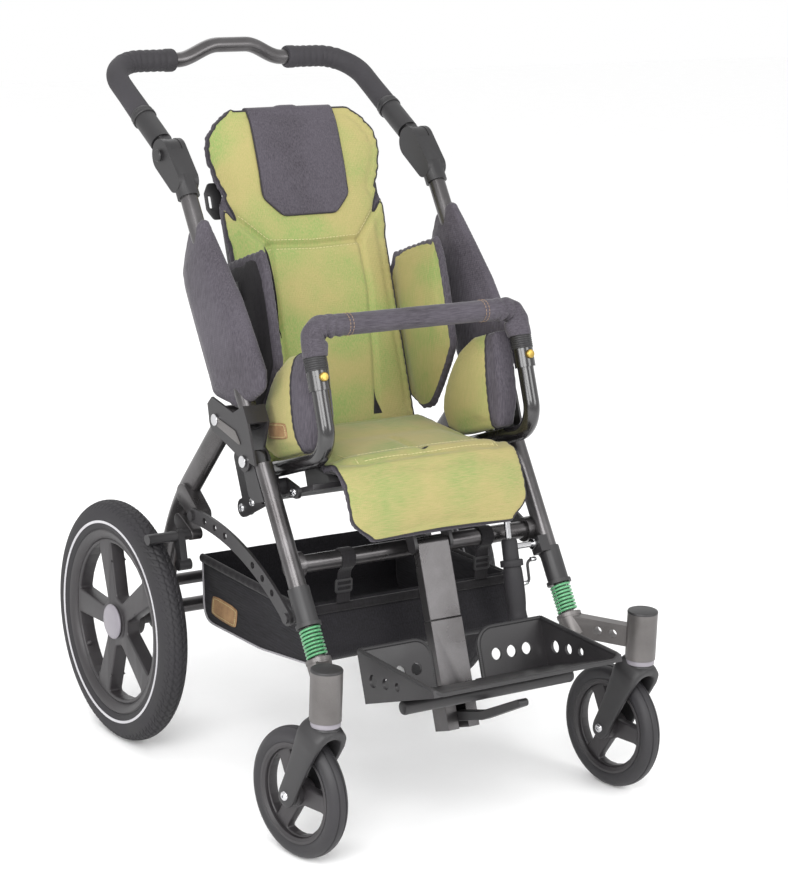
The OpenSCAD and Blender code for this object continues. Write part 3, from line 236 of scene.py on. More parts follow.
# %% [markdown]
# ### Woven cloth
# The covers are woven from melange yarn: each thread is spun from fibres of two shades, so the cloth
# shows short streaks along the thread. The threads are about 0.4 mm apart, too fine to show in the
# picture, so they are drawn 1.5 mm apart. Two crossed waves make the weave's relief, noise that is
# stretched along the thread makes the streaks, and a broad noise makes the slow change of shade.

# %% Woven cloth
PATCH_MM = 110.0


def woven(name, deep, middle, bright, streak_along, thread_mm=1.5, rough=0.9):
    """streak_along is the axis, 0 to 2, along which the melange yarn runs."""
    material, tree, place = new_tree(name)
    squeeze = [1.0, 1.0, 1.0]
    squeeze[streak_along] = 0.09
    drawn = add(tree, "ShaderNodeMapping", None, {"Vector": place, "Scale": squeeze}).outputs[0]
    fine = stretched(tree, cells(tree, drawn, thread_mm, 3.0, {"Roughness": 0.6}), 0.3, 0.72)
    broad = stretched(tree, cells(tree, place, PATCH_MM, 2.0), 0.4, 0.6)
    ground = mixed(tree, broad, linear(deep), linear(middle))
    colour = mixed(tree, reckoned(tree, "MULTIPLY", fine, 0.6), ground, linear(bright))
    waves = [add(tree, "ShaderNodeTexWave", {"bands_direction": axis},
                 {"Vector": place, "Scale": 1000 / thread_mm / 20 * 3.14159, "Distortion": 0.6,
                  "Detail": 1.0}).outputs["Fac"] for axis in ("X", "Z")]
    height = reckoned(tree, "ADD", reckoned(tree, "ADD", *waves), fine)
    shaded(tree, colour, rough, height, 0.3, 0.4,
           {"Sheen Weight": 0.15, "Sheen Roughness": 0.4, "Specular IOR Level": 0.25})
    return material


# Lime cover cloth: green and straw-coloured fibres, so it turns from one to the other in patches.
lime_upright = woven("lime_melange_upright", "748f4f", "95925d", "ac996c", 2)
lime_across = woven("lime_melange_across", "778950", "918d5b", "a7946a", 0)
# Grey denim: blue-grey yarn with pale flecks, matt.
denim = woven("grey_melange_denim", "322e34", "3e3a41", "605c63", 2)
denim_across = woven("grey_melange_denim_across", "322e34", "3e3a41", "605c63", 0)
# Lining, net and webbing: black synthetic yarn, each a little coarser or denser than the other.
# The black lining also serves as painted shade: on the outer faces of the lateral pads and in the slits.
black_lining_and_shade = woven("black_lining_and_shade", "171517", "1f1d20", "2d2a2d", 2, 1.2)
basket_net = woven("black_mesh_net", "0a090b", "100f11", "29272d", 1, 2.2, 0.75)
webbing = woven("black_webbing", "121112", "1a181a", "272528", 2, 1.4)
# Piping is a cord in a strip of cloth; thread is twisted polyester with a slight gloss.
pale_piping = coat("pale_grey_piping", "828083", "9b999d", 1.5, (0.6, 0.7), 0.0, 0.1)
dark_piping = coat("dark_piping", "201e22", "2f2b30", 1.2, (0.8, 0.9), 0.0, 0.12)
lime_thread = coat("pale_yellow_thread", "b6ac7d", "c3bb8b", 0.8, (0.6, 0.7), 0.0, 0.05)
orange_thread = coat("orange_thread", "856d59", "997f67", 0.8, (0.6, 0.7), 0.0, 0.05)
print("materials in all:", len(bpy.data.materials))

# %% [markdown]
# ## Frames to work in
# It is easier to model a seat as if it stood level, in millimetres, and then lean it. Each frame here
# is a matrix that takes such a drawing to its place: the leaning front legs with the handle stems
# above them, the tilted seat, the handle, the two casters and the floor under the rear axle.

# %% Frames
MM = Matrix.Scale(0.001, 4)


def moving(x, y, z):
    return Matrix.Translation((x, y, z))


def turning(degrees, axis):
    return Matrix.Rotation(math.radians(degrees), 4, axis)


def flipping(sign):
    """Turns left into right where sign is -1."""
    return Matrix.Scale(sign, 4, (1, 0, 0))


def own_frame(x, y, z, lean=0.0, turn=0.0):
    return (moving(x / 1000, y / 1000, z / 1000) @ turning(turn, "Z")
            @ turning(lean, "X") @ MM)


AXLE_Y = 250.0
CHASSIS = own_frame(0, AXLE_Y, 0)
LEG = own_frame(0, AXLE_Y - 475, 318, -33.3)
SEAT = own_frame(0, AXLE_Y - 404.04, 393.42, -20.5)
HANDLE = LEG @ moving(0, 20.9, 792) @ turning(61.9, "X")
SIDES = {"left": 1, "right": -1}
CASTER_X, CASTER_Y = 291.5, AXLE_Y - 617.5
CASTER_TURN = {"left": 5.7, "right": 8.1}  # how far each caster has swung, in degrees
CASTER = {side: own_frame(sign * CASTER_X, CASTER_Y, 0, 0, CASTER_TURN[side]) for side, sign in SIDES.items()}
ACROSS = turning(90, "Y")  # a turned shape's axis Z goes along X
# A flat drawing in y and z, with its thickness along x
EDGE_ON = Matrix(((0, 0, 1, 0), (1, 0, 0, 0), (0, 1, 0, 0), (0, 0, 0, 1)))
print("seat datum:", tuple(round(c, 4) for c in SEAT.translation))

# %% [markdown]
# ## Tools for shapes
# Five tools make nearly every piece. `piece` turns a bmesh into an object that rides on its body.
# `wrapped` lays a grid of quads over a surface that is given as a function. `swept` runs a section
# along a path, `turned` spins a profile and `plate` cuts a flat outline with holes and rounds its rim.

# %% Pieces and copies of solids
def moved(bm, matrix):
    bmesh.ops.transform(bm, matrix=matrix, verts=bm.verts)
    if matrix.determinant() < 0:
        bmesh.ops.reverse_faces(bm, faces=bm.faces)
    return bm


def piece(name, bm, body, material, at=None, stands_for=(), sharp=38.0):
    if at is not None:
        moved(bm, at)
    mesh = bpy.data.meshes.new(name)
    bm.to_mesh(mesh)
    bm.free()
    mesh.shade_smooth()
    mesh.set_sharp_from_angle(angle=math.radians(sharp))
    mesh.materials.append(material)
    obj = bpy.data.objects.new(name, mesh)
    scene.collection.objects.link(obj)
    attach(obj, body)
    if stands_for:
        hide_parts(*stands_for)
    return obj


def thickened(obj, thickness_mm, offset):
    layer = obj.modifiers.new("thickness", "SOLIDIFY")
    layer.thickness = thickness_mm / 1000
    layer.offset = offset


def softened(node, material, width_mm):
    """A copy of a rigid solid with its faces joined up and its edges rounded."""
    bm = bmesh.new()
    bm.from_mesh(frame["nodes"][node].data)
    bmesh.ops.remove_doubles(bm, verts=bm.verts, dist=2e-5)
    bmesh.ops.dissolve_limit(bm, angle_limit=math.radians(0.6), verts=bm.verts, edges=bm.edges)
    obj = piece(node + "_soft_edged", bm, body_of_node[node], material, None, [node])
    rounding = obj.modifiers.new("edges", "BEVEL")
    rounding.width = width_mm / 1000
    rounding.segments = 2
    rounding.limit_method = "ANGLE"
    rounding.angle_limit = math.radians(35.0)
    rounding.harden_normals = True


# %% Surfaces from a grid
WELD_MM = 0.01


def wrapped(count_u, count_v, shape):
    """A grid laid over shape(u, v), with u and v from 0 to 1, and welded where it meets itself."""
    bm = bmesh.new()
    bmesh.ops.create_grid(bm, x_segments=count_u, y_segments=count_v, size=0.5)
    for vert in bm.verts:
        vert.co = shape(round(vert.co.x + 0.5, 6), round(vert.co.y + 0.5, 6))
    bmesh.ops.remove_doubles(bm, verts=bm.verts, dist=WELD_MM)
    bmesh.ops.recalc_face_normals(bm, faces=bm.faces)
    return bm


def capped(bm):
    """Closes the open ends of a tube."""
    rims = [e for e in bm.edges if e.is_boundary]
    bmesh.ops.holes_fill(bm, edges=rims, sides=0)
    bmesh.ops.recalc_face_normals(bm, faces=bm.faces)
    return bm


def rounded(points, radius, step=6.0):
    """The points of a path whose corners are replaced by arcs, close enough together to look smooth."""
    points = [Vector(p) for p in points]
    path = [points[0]]
    for before, corner, after in zip(points, points[1:], points[2:]):
        inward, outward = (before - corner).normalized(), (after - corner).normalized()
        bend = math.pi - inward.angle(outward)
        if bend < 0.02:
            path.append(corner)
            continue
        room = 0.499 * min((before - corner).length, (after - corner).length)
        cut = min(radius * math.tan(bend / 2), room)
        arc = cut / math.tan(bend / 2)
        centre = corner + (inward + outward).normalized() * math.hypot(arc, cut)
        first, last = corner + inward * cut - centre, corner + outward * cut - centre
        count = max(4, int(arc * bend / step))
        path += [centre + first.slerp(last, i / count) * arc for i in range(count + 1)]
    path.append(points[-1])
    return path


def stations(path, spacing, up):
    """Points at even spacing along a path, each with two directions square to the path."""
    path = [Vector(p) for p in path]
    reach = [0.0]
    for a, b in zip(path, path[1:]):
        reach.append(reach[-1] + (b - a).length)
    count = max(2, round(reach[-1] / spacing))
    points, k = [], 0
    for i in range(count + 1):
        goal = reach[-1] * i / count
        while k < len(path) - 2 and reach[k + 1] < goal:
            k += 1
        span = reach[k + 1] - reach[k]
        points.append(path[k].lerp(path[k + 1], (goal - reach[k]) / span if span else 0.0))
    found = []
    for i, point in enumerate(points):
        way = (points[min(i + 1, count)] - points[max(i - 1, 0)]).normalized()
        side = way.cross(Vector(up)).normalized()
        found.append((point, side, side.cross(way)))
    return found, reach[-1]


def swept(line, section, sides):
    """Runs section(share along, angle), which gives two offsets, along the stations of a line."""
    last = len(line) - 1

    def shape(u, v):
        point, side, top = line[round(u * last)]
        a, b = section(u, 2 * math.pi * v)
        return point + side * a + top * b

    return capped(wrapped(last, sides, shape))


def round_section(radius_at):
    """A round section whose radius may change on the way."""
    return lambda u, a: (radius_at(u) * math.cos(a), radius_at(u) * math.sin(a))


def squarish(a, power):
    """A point of a circle that is pressed towards a square."""
    return [math.copysign(abs(c) ** power, c) for c in (math.cos(a), math.sin(a))]


def tube(path, radius, up=(0, 0, 1), spacing=6.0, sides=24):
    return swept(stations(path, spacing, up)[0], round_section(lambda u: radius), sides)


# %% Turned shapes and plates
def turned(profile, steps=64, closed=False):
    """Spins (radius, height) points about Z."""
    bm = bmesh.new()
    verts = [bm.verts.new((r, 0, h)) for r, h in profile]
    edges = [bm.edges.new(pair) for pair in zip(verts, verts[1:] + verts[:1] if closed else verts[1:])]
    bmesh.ops.spin(bm, geom=verts + edges, cent=(0, 0, 0), axis=(0, 0, 1), dvec=(0, 0, 0),
                   angle=2 * math.pi, steps=steps, use_merge=True, use_duplicate=False)
    bmesh.ops.remove_doubles(bm, verts=bm.verts, dist=WELD_MM)
    bmesh.ops.recalc_face_normals(bm, faces=bm.faces)
    return bm


def circle(centre, radius, count):
    return [(centre[0] + radius * math.cos(2 * math.pi * k / count),
             centre[1] + radius * math.sin(2 * math.pi * k / count)) for k in range(count)]


def outline(points, radius):
    """A closed outline with every corner rounded."""
    loop = [Vector((p[0], p[1], 0)) for p in points]
    found = []
    for k, corner in enumerate(loop):
        a, b = loop[k - 1] - corner, loop[(k + 1) % len(loop)] - corner
        bend = math.pi - a.angle(b)
        cut = min(radius * math.tan(bend / 2), a.length * 0.48, b.length * 0.48)
        start, end = corner + a.normalized() * cut, corner + b.normalized() * cut
        found += [start.lerp(corner, t).lerp(corner.lerp(end, t), t) for t in [i / 5 for i in range(6)]]
    return [(p.x, p.y) for p in found]


def plate(loops, thickness, edge=0.6):
    """A flat plate about z = 0: the first loop is its outline and the others are holes."""
    curve = bpy.data.curves.new("outline", "CURVE")
    curve.dimensions = "2D"
    curve.fill_mode = "BOTH"
    curve.extrude = thickness / 2 - edge
    curve.bevel_depth = edge
    curve.bevel_resolution = 2
    curve.offset = -edge
    for loop in loops:
        spline = curve.splines.new("POLY")
        spline.points.add(len(loop) - 1)
        for point, (x, y) in zip(spline.points, loop):
            point.co = (x, y, 0, 1)
        spline.use_cyclic_u = True
    drawing = bpy.data.objects.new("outline", curve)
    scene.collection.objects.link(drawing)
    mesh = bpy.data.meshes.new_from_object(drawing.evaluated_get(bpy.context.evaluated_depsgraph_get()))
    bm = bmesh.new()
    bm.from_mesh(mesh)
    bpy.data.objects.remove(drawing)
    bpy.data.curves.remove(curve)
    bpy.data.meshes.remove(mesh)
    bmesh.ops.remove_doubles(bm, verts=bm.verts, dist=0.005)
    bmesh.ops.recalc_face_normals(bm, faces=bm.faces)
    return bm


def merged(*parts):
    """Several bmeshes as one."""
    whole = parts[0]
    for part in parts[1:]:
        mesh = bpy.data.meshes.new("part")
        part.to_mesh(mesh)
        part.free()
        whole.from_mesh(mesh)
        bpy.data.meshes.remove(mesh)
    return whole


def both_sides(make):
    """What make(1) and make(-1) give, for the left and for the right, as one."""
    return merged(make(1), make(-1))


print("tools ready")

# %% [markdown]
# ## Metal and moulded parts that keep their solid's shape
# Tubes, brackets and housings are right as they were drawn, but a real edge is never razor sharp: it
# is deburred, cast or coated, and catches a thin line of light. A copy of each gets its faces joined
# and a small bevel; the width is what such a part would have.

# %% Soft-edged copies
KEPT = {
    graphite_coat: {"left_front_leg": 0.6, "right_front_leg": 0.6, "front_crossbar": 0.8,
                    "rear_cross_tubes": 0.6, "handle_stems": 0.6, "legrest_post": 2.4,
                    "legrest_slider": 2.0, "bumper_bar": 0.4},
    grey_coat: {"left_caster_arm": 2.0, "right_caster_arm": 2.0},
    black_coat: {"hinge_plates": 1.0, "left_strut": 0.9, "right_strut": 0.9, "seat_frame": 0.9,
                 "rear_axles": 0.6},
    black_nylon: {"leg_fittings": 1.2, "left_brake": 1.2, "right_brake": 1.2, "stem_housings": 3.0,
                  "handle_housings": 3.0, "foot_lever": 1.6, "back_shell": 2.0,
                  "left_handle_button": 0.8, "right_handle_button": 0.8},
    black_enamel: {"armrest_tubes": 0.8},
    chrome: {"fold_pins": 0.9, "trunnion_pin": 0.6, "gas_rod": 0.6},
    button_brass: {"left_bumper_button": 0.6, "right_bumper_button": 0.6},
}
for material, nodes in KEPT.items():
    for node, width in nodes.items():
        softened(node, material, width)
print("soft-edged copies:", sum(len(nodes) for nodes in KEPT.values()))

# %% [markdown]
# ## Rear wheels
# A rear wheel is a moulded five-spoke centre with a pneumatic tyre on it. The tyre's section is run
# round the axle as a grid, so that its tread can be pressed into the crown: slanting slots and two
# zigzag grooves, about 14 mm apart. The wheel centre is a disc with five rounded windows, cut as one
# plate, inside a turned barrel.

# %% Tyres
SEAT_R, WHEEL_X, AXLE_Z = 152.0, 302.4, 200.0
CROWN_HALF, TREAD_R = 21.8, 184.0  # half the crown's width, and where the tread begins
SLOTS, SLOT_DEPTH = 92, 1.5


def tyre_section():
    side = [(SEAT_R, 16.5), (SEAT_R + 2, 19.0), (SEAT_R + 6, 20.8), (SEAT_R + 12, 22.0),
            (SEAT_R + 19, 22.8), (SEAT_R + 25, 23.0)]
    crown = [(180.7 + 19.3 * math.cos(math.radians(a)), CROWN_HALF * math.sin(math.radians(a)))
             for a in [74 - 148 * k / 34 for k in range(35)]]
    return side + crown + [(r, -h) for r, h in reversed(side)] + [(SEAT_R, -8), (SEAT_R, 0), (SEAT_R, 8)]


def tread_depth(turn, across):
    """How deep the tread is cut at a share of a turn and at a place from -1 to 1 across the crown."""
    if abs(across) > 0.93:
        return 0.0
    zigzag = abs(((turn * SLOTS) % 1) * 2 - 1) * 0.1
    lines = min(abs(abs(across) - 0.27 - zigzag), abs(abs(across) - 0.66 - zigzag))
    slot = abs(((turn * SLOTS + abs(across) * 1.7 + (0.5 if across > 0 else 0)) % 1) - 0.5)
    return SLOT_DEPTH if lines < 0.045 or slot < 0.11 else 0.0


SECTION = tyre_section()


def tyre_shape(u, v):
    radius, height = SECTION[round(v * len(SECTION)) % len(SECTION)]
    if radius > TREAD_R:
        radius -= tread_depth(u, height / CROWN_HALF)
    angle = 2 * math.pi * u
    return Vector((radius * math.cos(angle), radius * math.sin(angle), height))


def wheel_at(sign):
    return CHASSIS @ moving(sign * WHEEL_X, 0, AXLE_Z) @ flipping(sign) @ ACROSS


for side, sign in SIDES.items():
    piece(f"{side}_treaded_tyre", wrapped(8 * SLOTS, len(SECTION), tyre_shape), f"{side}_rear_wheel",
          tyre_rubber, wheel_at(sign), [f"{side}_tyre"], 60)
    bands = both_sides(lambda s: turned(
        [(164, s * 22.2), (164, s * 22.95), (168.2, s * 23.35), (168.2, s * 22.4)], 128, True))
    piece(f"{side}_tyre_stripe", bands, f"{side}_rear_wheel", stripe_white, wheel_at(sign))
print("tyre section points:", len(SECTION))

# %% Wheel centres
def windows(spokes, first, radii, half_at, parts, corner):
    """The openings between spokes: each follows two spokes and the barrel, with rounded corners."""
    def edge(k, radius, sign):
        middle = math.radians(first + 360 / spokes * (k + (0 if sign > 0 else 1)))
        return middle + sign * math.asin(half_at(radius) / radius)

    found = []
    for k in range(spokes):
        up = [(r, edge(k, r, 1)) for r in radii]
        down = [(r, edge(k, r, -1)) for r in reversed(radii)]
        arc = [(radii[-1], up[-1][1] + (down[0][1] - up[-1][1]) * t / parts) for t in range(1, parts)]
        found.append(outline([(r * math.cos(a), r * math.sin(a)) for r, a in up + arc + down], corner))
    return found


def spoke_half(radius):
    return 15.5 + (radius - 40) * 0.055


WINDOWS = windows(5, 90, (42, 60, 80, 100, 120, 131), spoke_half, 5, 9)
BARREL = [(152, -16.5), (154, -18.5), (151.5, -20.4), (146, -19.4), (140, -16), (136.5, -11), (135.5, 0),
          (136.5, 11), (140, 16), (146, 19.4), (151.5, 20.4), (154, 18.5), (152, 16.5)]
HUB = [(6.2, -32), (22, -32), (27, -29), (27, -14), (33, -12), (33, 12), (28.5, 14), (28.5, 17), (6.2, 17)]
CAP = [(0, 21.8), (19, 21.8), (24, 21.2), (27.6, 19.8), (29, 18.2), (29, 16.6), (24, 16.2), (0, 16.2)]
for side, sign in SIDES.items():
    disc = plate([circle((0, 0), 138, 120)] + WINDOWS, 25, 3.0)
    valve = moved(turned([(0, 0), (3.2, 0), (3.2, 16), (2.2, 17), (2.2, 21), (0, 21)], 16),
                  turning(56, "Z") @ moving(136, 0, 7)
                  @ turning(-90, "Y"))
    centre = merged(disc, turned(BARREL, 128, True), turned(HUB, 64, True), valve)
    piece(f"{side}_wheel_centre", centre, f"{side}_rear_wheel", wheel_nylon, wheel_at(sign),
          [f"{side}_rim"])
    piece(f"{side}_hub_disc", turned(CAP, 64), f"{side}_rear_wheel", cap_abs, wheel_at(sign),
          [f"{side}_hub_cap"])
print("wheel windows:", len(WINDOWS))

# %% [markdown]
# ## Casters
# The small wheels have a solid tyre with two fine grooves, a three-spoke centre and a fork that was
# moulded in one piece. The fork is a bow: one rounded section swept up one blade, over the wheel and
# down the other, thin and flat at the axle and thick at the crown. A pale collar closes the swivel.

# %% Caster wheels
GROOVES = (6.0, -6.0)


def caster_profile():
    side = [(76, 12.2), (78, 14.2), (82, 15.8), (86, 16.8)]
    crown = []
    for k in range(49):
        a = math.radians(78 - 156 * k / 48)
        height = 16.6 * math.sin(a)
        cut = 1.6 if min(abs(height - g) for g in GROOVES) < 0.75 else 0.0
        crown.append((85.7 + 14.3 * math.cos(a) - cut, height))
    return side + crown + [(r, -h) for r, h in reversed(side)]


def caster_half(radius):
    return 13.5 + (58 - radius) * 0.05 + max(0, radius - 58) * 0.25


CASTER_WINDOWS = windows(3, 30, (24, 36, 48, 58, 65), caster_half, 7, 8)
CASTER_AXLE = (0, 53, 100)
CASTER_BARREL = [(76, -12.2), (77, -14), (73, -14.4), (68.5, -11.5), (67, 0), (68.5, 11.5), (73, 14.4),
                 (77, 14), (76, 12.2)]
CASTER_HUB = [(5.1, -18), (14, -18), (18, -16), (19.5, -6), (19.5, 6), (18, 16), (14, 18), (5.1, 18)]
for side in SIDES:
    at = CASTER[side] @ moving(*CASTER_AXLE) @ ACROSS
    body = f"{side}_caster_wheel"
    piece(f"{side}_grooved_tyre", turned(caster_profile(), 128, True), body, caster_rubber, at,
          [f"{side}_caster_tyre"])
    disc = plate([circle((0, 0), 69, 96)] + CASTER_WINDOWS, 15, 2.4)
    centre = merged(disc, turned(CASTER_BARREL, 96, True), turned(CASTER_HUB, 48, True))
    piece(f"{side}_caster_centre", centre, body, wheel_nylon, at, [f"{side}_caster_rim"])
print("caster tyre points:", len(caster_profile()))

# %% Caster forks
BLADE = [  # place of the bow's middle line, half its thickness and half its width
    ((24, 60.6, 83.6), 2.6, 4.5), ((24, 59.6, 85.8), 4.2, 10.5), ((24, 57.0, 91.3), 4.9, 15.4),
    ((24, 53.0, 100.0), 5.1, 17.6), ((24, 46.0, 115.2), 5.2, 17.8), ((24.2, 37.0, 134.7), 5.4, 18.6),
    ((24.6, 26.0, 158.5), 5.8, 20.4), ((25.0, 15.5, 181.2), 6.6, 22.8), ((24.2, 8.4, 197.5), 8.2, 24.6),
    ((20.0, 4.4, 208.6), 9.4, 25.2), ((11.5, 2.4, 215.0), 10.0, 25.0), ((0, 1.6, 217.0), 10.2, 24.8)]
BOW = BLADE + [((-x, y, z), t, w) for (x, y, z), t, w in reversed(BLADE[:-1])]


def bow_shape(u, v):
    steps = len(BOW) - 1
    k = min(int(u * steps), steps - 1)
    share = u * steps - k
    knots = [BOW[max(0, min(steps, i))] for i in (k - 1, k, k + 1, k + 2)]
    weights = (-0.5 * share ** 3 + share ** 2 - 0.5 * share, 1.5 * share ** 3 - 2.5 * share ** 2 + 1,
               -1.5 * share ** 3 + 2 * share ** 2 + 0.5 * share, 0.5 * share ** 3 - 0.5 * share ** 2)
    point = sum((Vector(n[0]) * w for n, w in zip(knots, weights)), Vector())
    thick, wide = (sum(n[i] * w for n, w in zip(knots, weights)) for i in (1, 2))
    way = (Vector(knots[2][0]) - Vector(knots[1][0])).normalized()
    broad = Vector((0, 0.907, 0.42))
    broad = (broad - way * broad.dot(way)).normalized()
    thin = broad.cross(way)
    c, s = squarish(2 * math.pi * v, 0.62)
    return point + thin * thick * c + broad * wide * s


SCREW = [(0, 1.2), (2.4, 1.2), (2.4, 4.2), (4.4, 4.2), (6.3, 3.2), (7.3, 1.6), (7.5, 0), (0, 0)]
for side, sign in SIDES.items():
    fork = capped(wrapped(96, 36, bow_shape))
    neck = turned([(0, 214), (21, 214), (22, 217), (20, 220.5), (20, 228), (0, 228)], 48)
    piece(f"{side}_moulded_fork", merged(fork, neck), f"{side}_caster_fork", black_nylon,
          CASTER[side], [f"{side}_caster_fork"])
    collar = turned([(18, 220.4), (22.2, 220.4), (22.8, 221.2), (22.8, 227.2), (22.2, 228), (18, 228)],
                    64, True)
    piece(f"{side}_swivel_collar", collar, f"{side}_caster_fork", cap_abs, CASTER[side])
    heads = both_sides(lambda s: moved(turned(SCREW, 24), moving(s * 29, 53, 100) @ turning(90 * s, "Y")))
    rod = moved(turned([(0, -29), (5, -29), (5, 29), (0, 29)], 24), moving(*CASTER_AXLE) @ ACROSS)
    piece(f"{side}_caster_screws", merged(heads, rod), f"{side}_caster_fork", chrome,
          CASTER[side])
    lid = turned([(0, 307.4), (21.6, 307.4), (23.4, 306.6), (24.2, 305), (24.2, 303.4), (0, 303.4)], 64)
    piece(f"{side}_housing_lid", lid, f"{side}_caster_arm", black_nylon,
          own_frame(sign * CASTER_X, CASTER_Y, 0))
print("fork sections:", len(BOW))

# %% [markdown]
# ## Front springs
# A suspension spring is one wire wound into eight even turns between two seats. A small circle is
# swept along the helix, and the spring gets a mesh of its own. The spring shortens when the caster
# arm slides.

# %% Springs
CURLS, SPRING_LEN, SPRING_R, WIRE_R = 8, 50.0, 15.0, 2.15


def spring_line():
    points = []
    for i in range(CURLS * 28 + 1):
        u = i / (CURLS * 28)
        angle = 2 * math.pi * CURLS * u
        rise = WIRE_R + (SPRING_LEN - 2 * WIRE_R) * u
        points.append(Vector((SPRING_R * math.cos(angle), SPRING_R * math.sin(angle), rise - SPRING_LEN)))
    return points


for side, sign in SIDES.items():
    line, length = stations(spring_line(), 3.4, (0, 0, 1))
    coil = swept(line, round_section(lambda u: WIRE_R), 12)
    at = LEG @ moving(sign * 234.5, 0, 0)
    spring = piece(f"{side}_coil_spring", coil, "chassis", spring_enamel, at,
                   [f"{side}_spring"])
    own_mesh(spring)
print("spring wire, mm:", round(length))

# %% [markdown]
# ## Rear legs
# Each rear leg is an oval tube, bent once in a wide bow and flattened where the hinge and the axle
# pass through it. The oval is swept along the bow, and lugs are plates cut to the shape of a weld tab.

# %% Rear legs
LEG_BOW = rounded([(0, -214.98, 582.7), (0, -57.6, 395.7), (0, 0, 200)], 350, 12)
STRUT_END, BRAKE_PIN, REAR_X = (-147, 411), (-122, 372), 232.0


def tab(p, q, r1, r2):
    """The outline of a link: two discs joined by their outer tangents."""
    p, q = Vector(p), Vector(q)
    way = math.atan2(q.y - p.y, q.x - p.x)
    g = math.acos((r1 - r2) / (q - p).length)
    first = [way + g + (2 * math.pi - 2 * g) * k / 14 for k in range(15)]
    second = [way - g + 2 * g * k / 14 for k in range(15)]
    return [(p.x + r1 * math.cos(a), p.y + r1 * math.sin(a)) for a in first] + [
        (q.x + r2 * math.cos(a), q.y + r2 * math.sin(a)) for a in second]


def oval(u, a):
    c, s = squarish(a, 0.8)
    return 20.0 * c, 12.5 * s


for side, sign in SIDES.items():
    line, _ = stations(LEG_BOW, 9, (1, 0, 0))
    bow = moved(swept(line, oval, 32), moving(REAR_X, 0, 0))
    parts = [bow]  # then the weld tabs of strut and brake, and the eyes of hinge and axle
    for loop, x0, x1 in ((tab((-104, 434), STRUT_END, 18, 13), 226, 250.2),
                         (tab((-84, 384), BRAKE_PIN, 13, 10), 226, 246),
                         (circle((-214.98, 582.7), 20.2, 48), 219.5, 244.5),
                         (circle((0, 200), 23, 48), 219.5, 244.5)):
        parts.append(moved(plate([loop], x1 - x0, 1.0), moving((x0 + x1) / 2, 0, 0) @ EDGE_ON))
    pin = moved(turned([(0, 230), (5, 230), (5, 272), (0, 272)], 24), moving(0, *BRAKE_PIN) @ ACROSS)
    piece(f"{side}_bowed_leg", merged(*parts, pin), "rear_frame", graphite_coat,
          CHASSIS @ flipping(sign), [f"{side}_rear_leg"])
print("rear leg stations:", len(line))

# %% [markdown]
# ## Push handle
# The handle is one tube bent through two elbows, with a raised middle that stays bare. Foam grips are
# slid on from both ends; the stretch beside the bare tube is rolled into ribs, and the foam ends in a
# thick cuff. Both follow the same path, so the foam is a swept tube whose radius changes on the way.

# %% Handle tube and grips
ARM_X, REACH, BEND, BARE = 234.5, 256.0, 80.0, 101.0


def crown(x):
    share = max(0.0, min(1.0, (abs(x) - 26) / (BARE - 26)))
    rise = 0.5 + 0.5 * math.cos(math.pi * share)
    return Vector((x, REACH + 9 * rise, 22 * rise))


half = rounded([(ARM_X, 50, 0), (ARM_X, REACH, 0), (130, REACH, 0)], BEND)
middle = [crown(124 - 4 * k) for k in range(63)]
handle_path = half + middle + [Vector((-p.x, p.y, p.z)) for p in reversed(half)]
piece("bent_handle_tube", tube(handle_path, 12.5, spacing=5, sides=28), "push_handle",
      graphite_coat, HANDLE, ["handle_tube"])
grip_path = rounded([(109, REACH, 0), (ARM_X, REACH, 0), (ARM_X, 108, 0)], BEND)
line, grip_len = stations(grip_path, 1.6, (0, 0, 1))


def grip_radius(u):
    d = u * grip_len
    if d < 18:
        return 19.2 - 1.2 * (1 - min(1, min(d, 18 - d) / 3))
    if d < 104:
        return 17.0 + 1.5 * abs(math.sin(math.pi * (d - 18) / 12.3)) ** 0.7
    return 17.9 - 1.2 * (1 - min(1, (grip_len - d) / 4)) + 0.25 * math.sin(d / 17)


grips = both_sides(lambda s: moved(swept(line, round_section(grip_radius), 32), flipping(s)))
piece("ribbed_grips", grips, "push_handle", grip_foam, HANDLE, ["handle_grips"], 55)
RINGS = [(12.6, 95), (19.4, 95), (20.2, 96), (20.2, 101), (19, 102.4), (18.4, 103), (19.4, 104), (19.4, 108),
         (18.4, 109.5), (12.6, 109.5)]
rings = both_sides(lambda s: moved(turned(RINGS, 48, True), moving(s * ARM_X, 0, 0) @ turning(-90, "X")))
piece("grip_stop_rings", rings, "push_handle", black_nylon, HANDLE)
print("grip length, mm:", round(grip_len))

# %% [markdown]
# ## Padded covers
# Every pad is a foam core in a sewn cover. Its solid is drawn in a little, meshed evenly and then
# blown up by a short cloth simulation, so that it swells between its edges as a stuffed cover does.
# Seams come afterwards: the skin is pulled in along each sewn line. Where two cloths meet the mesh is
# cut along a plane, so that the border is clean, and a cord of piping is laid over it.

# %% Stuffing and seams
DRAWN_IN, PRESSURE, VOXEL, FRAMES = 3.0, 4.0, 5.0, 20
FIRM = 0.75  # the share of the drawing in that the foam core always wins back


def applied(obj):
    """The mesh of an object with its modifiers worked in."""
    return bpy.data.meshes.new_from_object(obj.evaluated_get(bpy.context.evaluated_depsgraph_get()))


